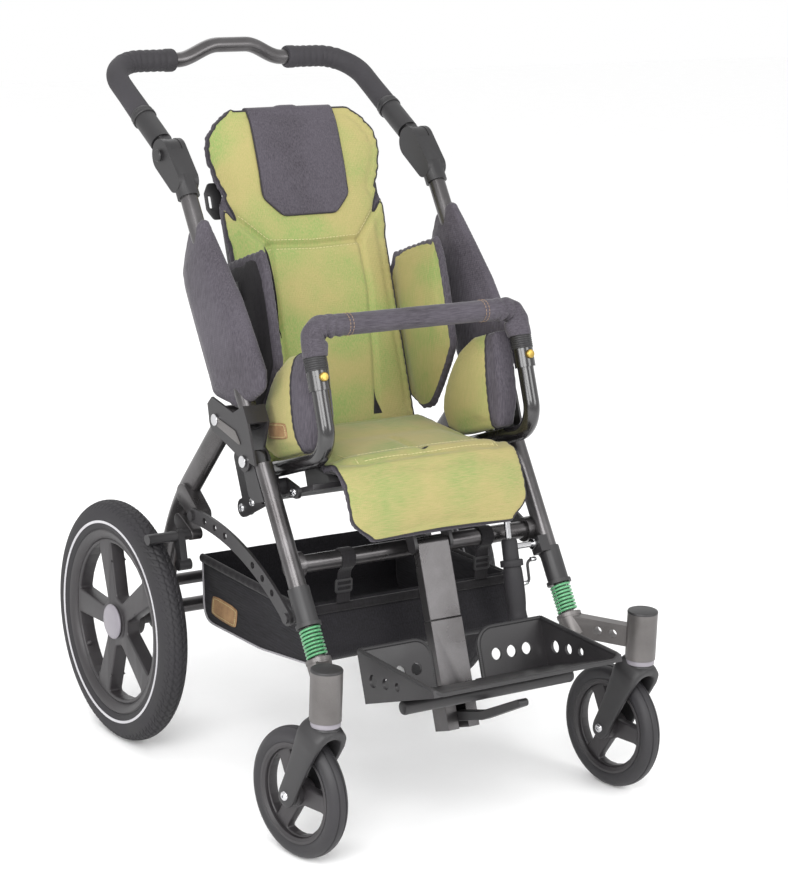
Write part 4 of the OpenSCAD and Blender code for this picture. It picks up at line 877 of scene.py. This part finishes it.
def stuffed(node, cap_mm):
    """A pad's solid, a little smaller, meshed evenly and swollen by at most cap_mm."""
    bm = bmesh.new()
    bm.from_mesh(frame["nodes"][node].data)
    bmesh.ops.remove_doubles(bm, verts=bm.verts, dist=2e-5)
    bmesh.ops.recalc_face_normals(bm, faces=bm.faces)
    bm.normal_update()
    for vert, co in [(v, v.co - v.normal * DRAWN_IN / 1000) for v in bm.verts]:
        vert.co = co
    mesh = bpy.data.meshes.new("pad")
    bm.to_mesh(mesh)
    bm.free()
    pad = bpy.data.objects.new("pad", mesh)
    scene.collection.objects.link(pad)
    even = pad.modifiers.new("even", "REMESH")
    even.mode = "VOXEL"
    even.voxel_size = VOXEL / 1000
    mesh = applied(pad)
    pad.modifiers.clear()
    pad.data = mesh
    cloth = pad.modifiers.new("cloth", "CLOTH")
    cloth.settings.use_pressure = True
    cloth.settings.uniform_pressure_force = PRESSURE
    cloth.settings.effector_weights.gravity = 0.0
    cloth.collision_settings.use_collision = False
    for number in range(1, FRAMES + 1):
        scene.frame_set(number)
    goals = [v.co.copy() for v in applied(pad).vertices]
    pad.modifiers.clear()
    scene.frame_set(1)
    outward = [v.normal.copy() for v in mesh.vertices]
    for vert, goal, out in zip(mesh.vertices, goals, outward):
        move = goal - vert.co
        if move.length > cap_mm / 1000:
            move.length = cap_mm / 1000
        move += out * max(0.0, FIRM * DRAWN_IN / 1000 - move.dot(out))
        vert.co += move
    pad.modifiers.new("finer", "SUBSURF").levels = 1
    bm = bmesh.new()
    bm.from_mesh(applied(pad))
    bpy.data.objects.remove(pad)
    for _ in range(2):
        bmesh.ops.smooth_vert(bm, verts=bm.verts, factor=0.5,
                              use_axis_x=True, use_axis_y=True, use_axis_z=True)
    return bm


def nearest(q, stretches):
    """How far a point of a drawing is from the nearest stretch, and whether it is on its left."""
    near, left = 1e9, True
    for a, b in stretches:
        share = max(0.0, min(1.0, (q - a).dot(b - a) / (b - a).length_squared))
        gap = (q - a.lerp(b, share)).length
        if gap < near:
            near, left = gap, (b - a).cross(q - a) > 0
    return near, left


def pressed(bm, place, lines, axes, facing, depth_mm, width_mm):
    """Pulls the skin in along sewn lines, which are drawn on two axes of a frame."""
    back = place.inverted()
    out = (place.to_3x3() @ Vector(facing)).normalized()
    stretches = [(Vector(a), Vector(b)) for line in lines for a, b in zip(line, line[1:])]
    bm.normal_update()
    for vert in bm.verts:
        if vert.normal.dot(out) < 0.15:
            continue
        p = back @ vert.co
        near, _ = nearest(Vector((p[axes[0]], p[axes[1]])), stretches)
        if near < 3 * width_mm:
            vert.co -= out * depth_mm / 1000 * math.exp(-(near / width_mm) ** 2)


def parted(bm, place, *planes):
    """Cuts the mesh along planes, each a point and a direction in a frame."""
    for point, way in planes:
        everything = list(bm.verts) + list(bm.edges) + list(bm.faces)
        bmesh.ops.bisect_plane(bm, geom=everything, dist=1e-6, plane_co=place @ Vector(point),
                               plane_no=(place.to_3x3() @ Vector(way)).normalized())


def zoned(bm, place, choose):
    """Gives each face the number of its cloth, from its place and direction in a frame."""
    back, turn = place.inverted(), place.to_3x3().inverted()
    bm.normal_update()
    for face in bm.faces:
        face.material_index = choose(back @ face.calc_center_median(), (turn @ face.normal).normalized())


def borders(bm, place):
    """The lines along which two cloths meet, as points of a frame."""
    back = place.inverted()
    links = {}
    for edge in bm.edges:
        if len({face.material_index for face in edge.link_faces}) > 1:
            for vert in edge.verts:
                links.setdefault(vert, []).append(edge)
    used, lines = set(), []
    ends = [v for v in links if len(links[v]) == 1]
    for start in ends + list(links):
        line, vert = [start], start
        while True:
            edge = next((e for e in links[vert] if e not in used), None)
            if edge is None:
                break
            used.add(edge)
            vert = edge.other_vert(vert)
            line.append(vert)
        if len(line) > 12:
            lines.append([back @ v.co for v in line])
    return lines


def evened(points, times=4):
    """A line with its small steps smoothed out."""
    points = [Vector(p) for p in points]
    for _ in range(times):
        inner = [(a + 2 * b + c) / 4 for a, b, c in zip(points, points[1:], points[2:])]
        points = points[:1] + inner + points[-1:]
    return points


def skin_of(bm, place):
    """The skin of a mesh, in a frame, for lines and patches to be laid on."""
    copy = bm.copy()
    bmesh.ops.transform(copy, matrix=place.inverted(), verts=copy.verts)
    tree = BVHTree.FromBMesh(copy)
    copy.free()
    return tree


def laid(tree, points, way, lift=0.0):
    """Points moved along a direction until they lie on a skin."""
    way = Vector(way).normalized()
    hits = [tree.ray_cast(Vector(p) - way * 120, way)[0] for p in points]
    return [hit - way * lift for hit in hits if hit is not None]


def laid_point(point, way, skin, lift=0.5):
    hit = laid(skin, [point], way, lift)
    return hit[0] if hit else Vector(point)


def dense(points):
    """Points 3 mm apart; the direction given is of no account here."""
    return [point for point, _, _ in stations(points, 3, (0.31, 0.17, 0.93))[0]]


def stitches(points, up, long=4.4, pitch=6.6, radius=0.55):
    """Short threads along a line."""
    spots = [point for point, _, _ in stations(points, pitch, up)[0]]
    share = long / pitch
    return merged(*[tube([a, a.lerp(b, 0.5 * long / pitch), a.lerp(b, share)], radius, up, 9, 6)
                    for a, b in zip(spots, spots[1:])])


def covered(name, bm, body, cloths, node, at=None):
    """A stuffed cover, sewn from one or more cloths."""
    obj = piece(name, bm, body, cloths[0], at, [node], 180)
    for cloth in cloths[1:]:
        obj.data.materials.append(cloth)
    return obj


print("padding tools ready")

# %% [markdown]
# ## Back cushion
# The back cushion is lime cloth in front, grey denim round its edge and black lining behind. A yoke
# seam runs from the neck notches down to the trunk and across, two more seams run down from it, and
# beside them are slits for a harness. The head panel is a separate flap of denim, laid over the top
# edge, cut at its lower corners and bound in dark piping.

# %% Back cushion
BACK_EDGE, BACK_LINING = 164.0, 181.0  # how deep lime and denim reach
yoke = [(-156, 604), (-128, 559), (-82, 515), (0, 511), (88, 514), (128, 559), (156, 604)]
trunk_seams = [[(-82, 515), (-86, 380), (-84, 168)], [(90, 514), (93, 430), (86, 359), (72, 232)]]
back = stuffed("back_cushion", 6.0)
pressed(back, SEAT, [yoke], (0, 2), (0, -1, 0), 6.5, 6.0)
pressed(back, SEAT, trunk_seams, (0, 2), (0, -1, 0), 5.0, 5.0)
pressed(back, SEAT, [[(-88, 512), (-86, 380)]], (0, 2), (0, -1, 0), 5.0, 4.5)
parted(back, SEAT, ((0, BACK_EDGE, 0), (0, 1, 0)), ((0, BACK_LINING, 0), (0, 1, 0)))
zoned(back, SEAT, lambda p, n: (p.y > BACK_EDGE) + (p.y > BACK_LINING))
back_skin = skin_of(back, SEAT)
edge_lines = [line for line in borders(back, SEAT) if abs(line[len(line) // 2].y - BACK_EDGE) < 3]
covered("back_cover", back, "backrest", (lime_upright, denim, black_lining_and_shade),
        "back_cushion")
for k, line in enumerate(edge_lines):
    piece(f"back_piping_{k}", tube(evened(line), 1.7, (0, 1, 0), 5, 10), "backrest",
          dark_piping, SEAT)
print("back cushion borders:", [len(line) for line in edge_lines])

# %% Slits and stitching of the back
def long_slit(u, v):
    middle = -88 + 3 * v
    half = 0.6 + 6.0 * math.sin(math.pi * min(1, v * 1.02)) ** 0.5 * (1 - v) ** 0.6
    return Vector((middle + (2 * u - 1) * half, 0, 515 - 150 * v))


def short_slit(u, v):
    return Vector((72 + (2 * u - 1) * (0.5 + 8.0 * v ** 1.3), 0, 266 - 40 * v))


# A slit is drawn as a dark patch of painted shade, for the shadow inside its opening, laid just over the
# bottom of its fold
for name, drawing in (("long", long_slit), ("short", short_slit)):
    dark = wrapped(6, 40, lambda u, v: laid_point(drawing(u, v), (0, 1, 0), back_skin))
    piece(f"{name}_harness_slit_shade", dark, "backrest", black_lining_and_shade, SEAT)
above = [(x, 0, z + 9) for x, z in yoke[1:-1]]
below = [(x, 0, z - 6) for x, z in yoke[2:5]]
for k, points in enumerate((above, below)):
    line = laid(back_skin, dense(points), (0, 1, 0), 0.25)
    piece(f"yoke_stitching_{k}", stitches(evened(line), (0, 1, 0)), "backrest", lime_thread,
          SEAT)
print("slits and stitching done")

# %% Head panel
PANEL_LOW, PANEL_TURN, PANEL_HALF = 562.0, 722.0, 80.0
FRONT_RISE = PANEL_TURN - PANEL_LOW
OVER_TOP = 62.0


def panel_point(u, v, lift=1.2):
    """A point of the flap: up the front of the cushion, then over its top edge to the back."""
    along = v * (FRONT_RISE + OVER_TOP)
    cut = max(0.0, 30 - along)
    x = (2 * u - 1) * (PANEL_HALF - cut)
    if along <= FRONT_RISE:
        start, way = Vector((x, 60, PANEL_LOW + along)), Vector((0, 1, 0))
    else:
        turn = math.pi * 0.94 * (along - FRONT_RISE) / OVER_TOP
        way = Vector((0, math.cos(turn), -math.sin(turn)))
        start = Vector((x, 170, PANEL_TURN)) - way * 80
    hit = back_skin.ray_cast(start, way)[0]
    return (hit if hit is not None else start + way * 64) - way * lift


flap = wrapped(40, 64, panel_point)
rim = [panel_point(0, 1 - k / 60, 2.2) for k in range(61)]
rim += [panel_point(k / 30, 0, 2.2) for k in range(1, 30)]
rim += [panel_point(1, k / 60, 2.2) for k in range(61)]
flap_area = sum(face.calc_area() for face in flap.faces) / 1e6
panel = piece("head_panel", flap, "backrest", denim, SEAT, (), 180)
thickened(panel, 2.8, 1.0)
bound = piece("head_panel_piping", tube(evened(rim, 3), 1.9, (0.2, 1, 0.1), 4, 10), "backrest",
              dark_piping, SEAT)
print("head panel area, m2:", round(flap_area, 4))

# %% [markdown]
# ## Seat cushion
# The seat is one padded mat that runs forward and down over the front edge as an apron. Its threads
# run across, so its streaks do too. A line of twin stitching marks the bend, with a slit for a strap
# in its middle, and the side of the apron is denim, down to the cut corners.

# %% Seat cushion
seat = stuffed("seat_cushion", 6.0)
bend_line = [(-150, -66), (-113, -81), (0, -80), (129, -78), (152, -58)]
pressed(seat, SEAT, [bend_line, [(0, -74), (0, 10)]], (0, 1), (0, 0, 1), 3.0, 7.0)
APRON_SEAM = -92.0
# Where lime and denim meet on the side, in y and z: half way through the foam
SEAM = [Vector(p) for p in ((APRON_SEAM, -20), (APRON_SEAM, 92), (-89, 110), (-80, 127), (-62, 140),
                            (-36, 140), (147, 216))]
parted(seat, SEAT, ((0, APRON_SEAM, 0), (0, 1, 0)))


def seat_cloth(p, n):
    if p.y > -60 and n.z < -0.5:
        return 2
    _, front = nearest(p.yz, list(zip(SEAM, SEAM[1:])))
    return 0 if front else 1


zoned(seat, SEAT, seat_cloth)
seat_skin = skin_of(seat, SEAT)
seat_lines = [line for line in borders(seat, SEAT) if min(p.y for p in line) < APRON_SEAM + 2]
mat = covered("seat_cover", seat, "seat_unit", (lime_across, denim, black_lining_and_shade),
              "seat_cushion")
for k, line in enumerate(seat_lines):
    piece(f"seat_piping_{k}", tube(evened(line, 12), 1.6, (0, 1, 0.2), 4, 8), "seat_unit",
          dark_piping, SEAT)
for k, (shift, height) in enumerate(((0, 145), (19, 156))):
    points = [(x, y + shift, height) for x, y in bend_line[1:4]]
    line = laid(seat_skin, dense(points), (0, 0.6, -0.8), 0.3)
    piece(f"seat_stitching_{k}", stitches(evened(line, 12), (0, 0, 1), 5.0, 7.2, 0.6), "seat_unit",
          lime_thread, SEAT)
for k, x in enumerate((-124, 128, 136)):
    points = [(x, -78 + 60 * t, 146 + 18 * t) for t in (0, 0.5, 1)]
    line = laid(seat_skin, dense(points), (0, 0.35, -1), 0.25)
    piece(f"seat_return_stitching_{k}", stitches(evened(line), (0, 0, 1), 5.0, 7.2, 0.6), "seat_unit",
          lime_thread, SEAT)


def slit_point(u, v):
    spot = (-3 + 14 * u, -70 + (2 * v - 1) * 2.6 * math.sin(math.pi * u), 153)
    return laid_point(spot, (0, 0.3, -1), seat_skin, 0.4)


# The strap slit is a dark patch of painted shade, for the shadow inside its opening.
piece("seat_slit_shade", wrapped(10, 6, slit_point), "seat_unit", black_lining_and_shade, SEAT)
print("seat cover faces:", len(mat.data.polygons), "seams:", [len(line) for line in seat_lines])

# %% [markdown]
# ## Side pads
# Hip pads and lateral pads are small stuffed pouches. The hip pads are lime inside and outside with
# a denim strip along their front, and a dark cord is sewn in where they meet. The lateral pads are
# lime on the inner face and denim on the edge; their outer face is black, painted shade for the
# shadow that lies between sleeve and pad. The sleeves on the stems are flat denim pads that wrap the
# tube and are closed along the back.

# %% Hip pads, lateral pads and stem sleeves
TUCK_DEPTH = 18.0


def tucked(bm, place, tuck):
    """Draws the rear edge of a pad sideways, against the cushion that it leans on."""
    back = place.inverted()
    for vert in bm.verts:
        p = back @ vert.co
        p.x += tuck * min(1.0, max(0.0, (p.y - BACK_EDGE) / TUCK_DEPTH)) ** 2
        vert.co = place @ p


def soft_pad(name, node, place, body, cloths, cap_mm,
             planes=(), choose=None, corded=False, tuck=0.0):
    """A pouch sewn from cloths that meet along planes; corded lays piping over the seam."""
    bm = stuffed(node, cap_mm)
    if choose:
        parted(bm, place, *planes)
        zoned(bm, place, choose)
    if tuck:
        tucked(bm, place, tuck)
    skin = skin_of(bm, place)
    lines = borders(bm, place) if corded else []
    covered(name, bm, body, cloths, node)
    for k, line in enumerate(lines):
        ripple = [p + Vector((0.6 * math.sin(i * 0.9), 0, 0)) for i, p in enumerate(evened(line, 6))]
        piece(f"{name}_piping_{k}", tube(ripple, 1.8, tuple(planes[0][1]), 4, 8), body,
              dark_piping, place)
    return skin


LATERAL_ENDS = (157.0, 173.0)  # how far out lime and denim reach
hip_skins = {}
for side, sign in SIDES.items():
    # The strip follows the hip pad's leaning front: its border runs parallel to it
    border, lean_in = Vector((sign * 171.0, -45, 230)), Vector((-0.43 * sign, 0.89, 0.15))
    hip_skins[side] = soft_pad(f"{side}_hip_cover", f"{side}_hip_pad", SEAT, "seat_unit",
                               (lime_upright, denim), 5.0, [(border, lean_in)],
                               lambda p, n: int((p - border).dot(lean_in) < 0), True)
    # The outer face of each lateral pad is black cloth as painted shade, for the shadow between sleeve and
    # pad.
    soft_pad(f"{side}_lateral_cover", f"{side}_lateral_pad", SEAT, "backrest",
             (lime_upright, denim, black_lining_and_shade), 4.0,
             [((sign * x, 0, 0), (1, 0, 0)) for x in LATERAL_ENDS],
             lambda p, n: sum(sign * p.x >= x for x in LATERAL_ENDS), tuck=-9.0 * sign)
    soft_pad(f"{side}_sleeve_cover", f"{side}_stem_sleeve", LEG, "handle_frame", (denim,),
             4.0)
print("side pads made:", len(hip_skins) * 3)

# %% [markdown]
# ## Bumper cover
# The bumper is a thin bent tube inside a loose denim sleeve. On the straight the sleeve is full; in
# the elbows the cloth is too long on the inside, so it gathers into folds, and its open ends hang a
# little. The folds are rings that deepen towards the inside of the bend.

# %% Bumper cover
ARMREST_X, ARM_FRONT, BUMPER_Z, BUMPER_R = 190.0, -107.0, 346.0, 17.0
BUMPER_END = 301.0
bumper_path = rounded([(ARMREST_X, ARM_FRONT, BUMPER_END), (ARMREST_X, ARM_FRONT, BUMPER_Z),
                       (-ARMREST_X, ARM_FRONT, BUMPER_Z), (-ARMREST_X, ARM_FRONT, BUMPER_END)], 34, 3)
line, bumper_len = stations(bumper_path, 2.0, (0, 1, 0))


def bumper_section(u, a):
    """Offsets sideways, towards the inside of the bend, and along Y."""
    near = min(u, 1 - u) * bumper_len
    inside = 0.5 - 0.5 * math.cos(a)
    elbow = math.exp(-((near - 56) / 30) ** 2)
    fold = elbow * (0.5 + inside) * 1.5 * math.sin(near / 2.6 + 1.8 * math.sin(2 * a))
    loose = 1.2 * math.exp(-(near / 14) ** 2) + elbow * 1.0
    droop = 8.0 * inside ** 2 * math.exp(-((near - 16) / 16) ** 2)
    uneven = 0.3 * noise.noise(Vector((near / 15, 2 * math.cos(a), 2 * math.sin(a))))
    radius = BUMPER_R - 0.3 + loose + fold + uneven
    return -(radius + droop) * math.cos(a), radius * math.sin(a)


covered("bumper_sleeve", swept(line, bumper_section, 48), "bumper", (denim_across,),
        "bumper_cover", SEAT)
STITCH_R = BUMPER_R + 0.4


def sewn_ring(x):
    ring = [Vector((x, ARM_FRONT + STITCH_R * math.cos(t), BUMPER_Z + STITCH_R * math.sin(t)))
            for t in [2 * math.pi * k / 40 for k in range(41)]]
    return stitches(ring, (1, 0, 0), 3.6, 5.4, 0.45)


piece("bumper_stitching", merged(*[sewn_ring(x) for x in (128, 122, -122, -128)]), "bumper",
      orange_thread, SEAT)
print("bumper sleeve length, mm:", round(bumper_len))

# %% [markdown]
# ## Armrest collars
# A moulded collar closes each armrest upright. Its upper half is ribbed for the hand, so a stack of
# rounded rings is turned over the smooth collar.

# %% Collars
RIB, RIBS = 3.4, 7


def collar_profile():
    points = [(13.2, 279)]
    for k in range(RIBS):
        foot = 280 + RIB * k
        points += [(16.7, foot), (17.5, foot + RIB * 0.3), (17.5, foot + RIB * 0.6), (16.7, foot + RIB * 0.9)]
    return points + [(13.2, 304.4)]


collars = both_sides(lambda s: moved(turned(collar_profile(), 48, True), moving(s * ARMREST_X, ARM_FRONT, 0)))
piece("ribbed_collars", collars, "seat_unit", black_nylon, SEAT)
print("ribs on each collar:", RIBS)

# %% [markdown]
# ## Footplate
# The footplate is a folded tray of powder-coated sheet. A ribbed rubber edging is pushed over its
# open edges: along the front, up the sides and round the two rear panels. The edging is a thin tube
# whose radius ripples every 3 mm.

# %% Footplate
softened("footplate_tray", black_coat, 1.2)
TRAY_BACK, TRAY_FRONT, TRAY_FLOOR, TRAY_X, WALL_TOP = -62.0, -254.0, -217.0, 169.5, -142.0


def edging(points, bend, up):
    line, length = stations(rounded(points, bend, 3), 0.75, up)
    return swept(line, round_section(lambda u: 3.3 + 0.45 * abs(math.sin(math.pi * u * length / 3.0))), 10)


LIP, REAR_LIP = TRAY_FRONT + 2, TRAY_BACK - 2.5
right_half = [(-TRAY_X, TRAY_BACK - 3, WALL_TOP), (-TRAY_X, LIP, TRAY_FLOOR + 4),
              (-TRAY_X + 12, LIP, TRAY_FLOOR - 3)]
front_edge = edging(right_half + [(-x, y, z) for x, y, z in reversed(right_half)], 14, (0.1, 0.9, 0.3))
panels = both_sides(lambda s: edging([(s * TRAY_X, REAR_LIP, WALL_TOP), (s * 45, REAR_LIP, WALL_TOP),
                                      (s * 45, REAR_LIP, TRAY_FLOOR)], 28, (0, 1, 0)))
piece("footplate_edging", merged(front_edge, panels), "footplate", black_nylon, SEAT, (), 70)
BAR_CAP = [(0, 4), (7, 4), (10, 2.6), (11.2, 0), (11.2, -3), (0, -3)]
caps = both_sides(lambda s: moved(turned(BAR_CAP, 32), moving(s * 153, -138, -234.5) @ turning(90 * s, "Y")))
piece("foot_bar_caps", caps, "footplate", black_nylon, SEAT)
print("footplate edging done")

# %% [markdown]
# ## Basket
# The basket is a bag of black net hung in a wire hoop. One strip makes its back, floor and front,
# and a panel closes each side. Both are grids that share their edge points, so that they weld into
# one shell, and the floor and the walls sag between the edges as a loaded bag does.

# %% Basket shell
BASKET_X, BAG_MIDDLE = 189.0, Vector((0, -240, 290))
bag_path = rounded([(0, -67, 316), (0, -77, 206), (0, -258, 211), (0, -443, 235.5), (0, -386, 320)], 22, 5)
bag_line = [point for point, _, _ in stations(bag_path, 9, (1, 0, 0))[0]]
last = len(bag_line) - 1


def slack(t):
    return 1 - (2 * t - 1) ** 2


def bag_strip(u, v):
    point = bag_line[round(u * last)]
    dip = 5.0 * slack(v) * slack(u) + 1.2 * noise.noise(Vector((u * 9, v * 7, 0.3))) * slack(v)
    inward = (BAG_MIDDLE - point).normalized()
    flat = Vector((BASKET_X * (2 * v - 1), point.y, point.z))
    return flat + Vector((0, inward.y * dip * 0.6, inward.z * dip))


def bag_side(sign):
    def shape(u, v):
        point = bag_line[round(u * last)]
        top = bag_line[0].lerp(bag_line[-1], u)
        spot = point.lerp(top, v)
        swell = 4.0 * slack(v) * slack(u) * (1 + 0.4 * noise.noise(Vector((u * 6, v * 3, sign))))
        return Vector((sign * (BASKET_X - swell), spot.y, spot.z - 3 * slack(u) * v))
    return shape


bag = merged(wrapped(last, 36, bag_strip), *[wrapped(last, 14, bag_side(s)) for s in (1, -1)])
bmesh.ops.remove_doubles(bag, verts=bag.verts, dist=0.05)
bmesh.ops.recalc_face_normals(bag, faces=bag.faces)
net = piece("basket_bag", bag, "chassis", basket_net, CHASSIS, ["basket"], 50)
thickened(net, 1.6, -1.0)
strip_len = sum((b - a).length for a, b in zip(bag_line, bag_line[1:])) / 1000

# %% Basket hoop, binding, piping and straps
HOOP_X, HOOP_Z = 194.7, 314.0
HOOP_BACK, HOOP_FRONT = -75, -398
hoop_path = rounded([(-HOOP_X, HOOP_BACK, HOOP_Z), (-HOOP_X, HOOP_FRONT, HOOP_Z),
                     (HOOP_X, HOOP_FRONT, HOOP_Z), (HOOP_X, HOOP_BACK, HOOP_Z)], 18)
line, hoop_len = stations(hoop_path, 4, (0, 0, 1))
binding = swept(line, lambda u, a: ((5.4 + 0.25 * math.sin(u * hoop_len / 3)) * math.cos(a),
                                    (8.5 if math.sin(a) < 0 else 6.0) * math.sin(a)), 16)
piece("basket_hoop", binding, "chassis", webbing, CHASSIS, (), 70)
for side, sign in SIDES.items():
    hem = [Vector((sign * (BASKET_X + 0.6), p.y, p.z)) for p in bag_line]
    piece(f"{side}_basket_piping", tube(evened(hem, 2), 1.7, (1, 0, 0), 6, 8), "chassis",
          pale_piping, CHASSIS)
STRAP_X, STRAP_Y, STRAP_W, STRAP_T = 130.0, -404.5, 24.0, 1.8


def strap(points):
    """A flat webbing strap along a path that runs in a plane of constant x."""
    def flat(u, a):
        c, s = squarish(a, 0.3)
        return STRAP_T / 2 * c, STRAP_W / 2 * s

    return swept(stations(points, 6, (1, 0, 0))[0], flat, 16)


def hanger(s):
    """A loop round the crossbar and the tail that hangs from it."""
    loop = [(s * STRAP_X, -404 + 15.6 * math.sin(t), 393.4 + 15.6 * math.cos(t)) for t in
            [math.pi * k / 12 for k in range(-9, 10)]]
    hang = rounded([loop[0], (s * STRAP_X, STRAP_Y, 372), (s * STRAP_X, STRAP_Y, 322)], 12)
    return merged(strap(loop), strap(hang))


piece("basket_straps", both_sides(hanger), "chassis", webbing, CHASSIS, (), 60)
BUCKLE = [outline([(-15, -11), (15, -11), (15, 11), (-15, 11)], 4),
          outline([(-12, -7), (12, -7), (12, -1.5), (-12, -1.5)], 1.5),
          outline([(-12, 1.5), (12, 1.5), (12, 7), (-12, 7)], 1.5)]
buckles = both_sides(lambda s: moved(plate(BUCKLE, 4.6, 0.8),
                                     moving(s * STRAP_X, STRAP_Y, 349) @ turning(90, "X")))
piece("strap_buckles", buckles, "chassis", black_nylon, CHASSIS)
print("hoop length, mm:", round(hoop_len))

# %% [markdown]
# ## Leather patches
# Two plain patches of tan leather are sewn on: one on the basket's side, one on the outside of the
# right hip pad. Each is a small grid laid on the cloth, thickened, with a stitched rim.

# %% Patches
def patch(name, centre, size, tilt, way, tree, into, body, place):
    """A rounded rectangle in y and z, laid on a skin from outside."""
    c, s = math.cos(math.radians(tilt)), math.sin(math.radians(tilt))

    def shape(u, v):
        a, b = 2 * u - 1, 2 * v - 1
        a, b = a * math.sqrt(1 - 0.12 * b ** 4), b * math.sqrt(1 - 0.3 * a ** 4)
        y, z = a * size[0] / 2, b * size[1] / 2
        return laid_point((into, centre[0] + c * y - s * z, centre[1] + s * y + c * z), way, tree, 0.3)

    leather = piece(name, wrapped(24, 14, shape), body, tan_leather, place, (), 180)
    thickened(leather, 1.2, 1.0)
    rim = [shape(t, 0.12) for t in [0.06 + 0.88 * k / 20 for k in range(21)]]
    rim += [shape(0.94, 0.12 + 0.76 * k / 10) for k in range(1, 11)]
    rim += [shape(0.94 - 0.88 * k / 20, 0.88) for k in range(1, 21)]
    rim += [shape(0.06, 0.88 - 0.76 * k / 10) for k in range(1, 11)]
    rim = [p - Vector(way) * 1.5 for p in rim]
    piece(name + "_stitching", stitches(rim, way, 2.6, 3.8, 0.35), body, lime_thread, place)


copy = bmesh.new()
copy.from_mesh(net.data)
net_skin = skin_of(copy, CHASSIS)
copy.free()
patch("basket_patch", (-138, 237), (80, 34), 2, (1, 0, 0), net_skin, -200, "chassis", CHASSIS)
patch("hip_patch", (24, 208), (62, 25), 8, (1, 0, 0), hip_skins["right"], -215, "seat_unit", SEAT)
print("patches done")

# %% [markdown]
# ## Gas strut
# The strut that holds the tilt has a chrome rod, a black head and a rubber boot with a waist. Its
# release cable leaves the head, bends once and goes into the bracket on the leg.

# %% Gas strut and cable
GAS = own_frame(160, AXLE_Y - 438, 379, -16.0)
BOOT = [(5.2, -116), (14.6, -116), (15.4, -113), (14.4, -107), (14.0, -101), (15.3, -90), (16, -76),
        (16, -52), (15.2, -36), (14, -30), (18, -30), (18.4, -29), (18.4, -21), (18, -20), (13, -20),
        (12.9, 10), (11, 13.6), (5.2, 13.6)]
piece("gas_boot", turned(BOOT, 48, True), "gas_cylinder", tyre_rubber, GAS, ["gas_cylinder"])
cable_path = rounded([(16.2, 0, -60), (30, 0, -60), (30, 0, -24), (47.5, 0, -24)], 11, 2)
cable_mm, cable_len = stations(cable_path, 3, (0, 1, 0))
cable = piece("release_cable", tube(cable_path, 2.4, (0, 1, 0), 2.5, 14), "gas_cylinder",
              black_nylon, GAS, ["gas_cylinder"])
FERRULE = [(2.6, 0), (3.6, 0), (3.9, 1), (3.9, 8), (3.2, 10), (2.6, 10)]
ferrules = [moved(turned(FERRULE, 24, True), moving(*at) @ ACROSS)
            for at in ((16.4, 0, -60), (37, 0, -24))]
ends = piece("cable_ferrules", merged(*ferrules), "gas_cylinder", chrome, GAS)
print("cable length, mm:", round(cable_len, 1))

# %% [markdown]
# ## Screws and small fittings
# Button-head screws hold the plates together. One head, with a round socket, is turned and set in
# each place. Two belt guides sit beside the neck, and a pale insert fills the hollow of each hinge.

# %% Screws, belt guides and inserts
HEAD = [(0, 0.6), (2.6, 0.6), (2.9, 3.0), (4.2, 3.6), (6.0, 2.7), (7.0, 1.0), (7.1, 0), (0, 0)]


def screws(name, places, body, place):
    heads = [moved(turned(HEAD, 24), moving(*p) @ turning(90 if p[0] > 0 else -90, "Y")) for p in places]
    piece(name, merged(*heads), body, chrome, place)


both = (1, -1)
PLATE_SCREWS = ((182, 105), (146, 109.7), (14, 111))
screws("seat_plate_screws", [(s * 192.2, y, z) for s in both for y, z in PLATE_SCREWS], "seat_unit", SEAT)
screws("armrest_screws", [(s * 198.2, 79, z) for s in both for z in (112, 126)], "seat_unit", SEAT)
screws("lateral_screws", [(s * 184.2, y, z) for s in both for y in (120, 160) for z in (347, 437)],
       "backrest", SEAT)
GUIDE = [outline([(-16, -30), (4, -30), (15, -13), (15, 14), (6, 30), (-16, 30)], 7),
         outline([(4, -11), (9.5, -11), (9.5, 9), (4, 9)], 2.6)]
guides = both_sides(lambda s: moved(plate(GUIDE, 4.0, 0.9),
                                    flipping(s) @ moving(149, 193, 600) @ turning(90, "X")))
piece("belt_guides", guides, "backrest", black_nylon, SEAT)
INSERT = [outline([(78, 377), (74, 356), (16, 298), (22, 327)], 4)]
inserts = both_sides(lambda s: moved(plate(INSERT, 1.6, 0.5), moving(s * 254.0, 0, 0) @ EDGE_ON))
piece("hinge_inserts", inserts, "handle_frame", grey_coat, LEG)
print("screws set")
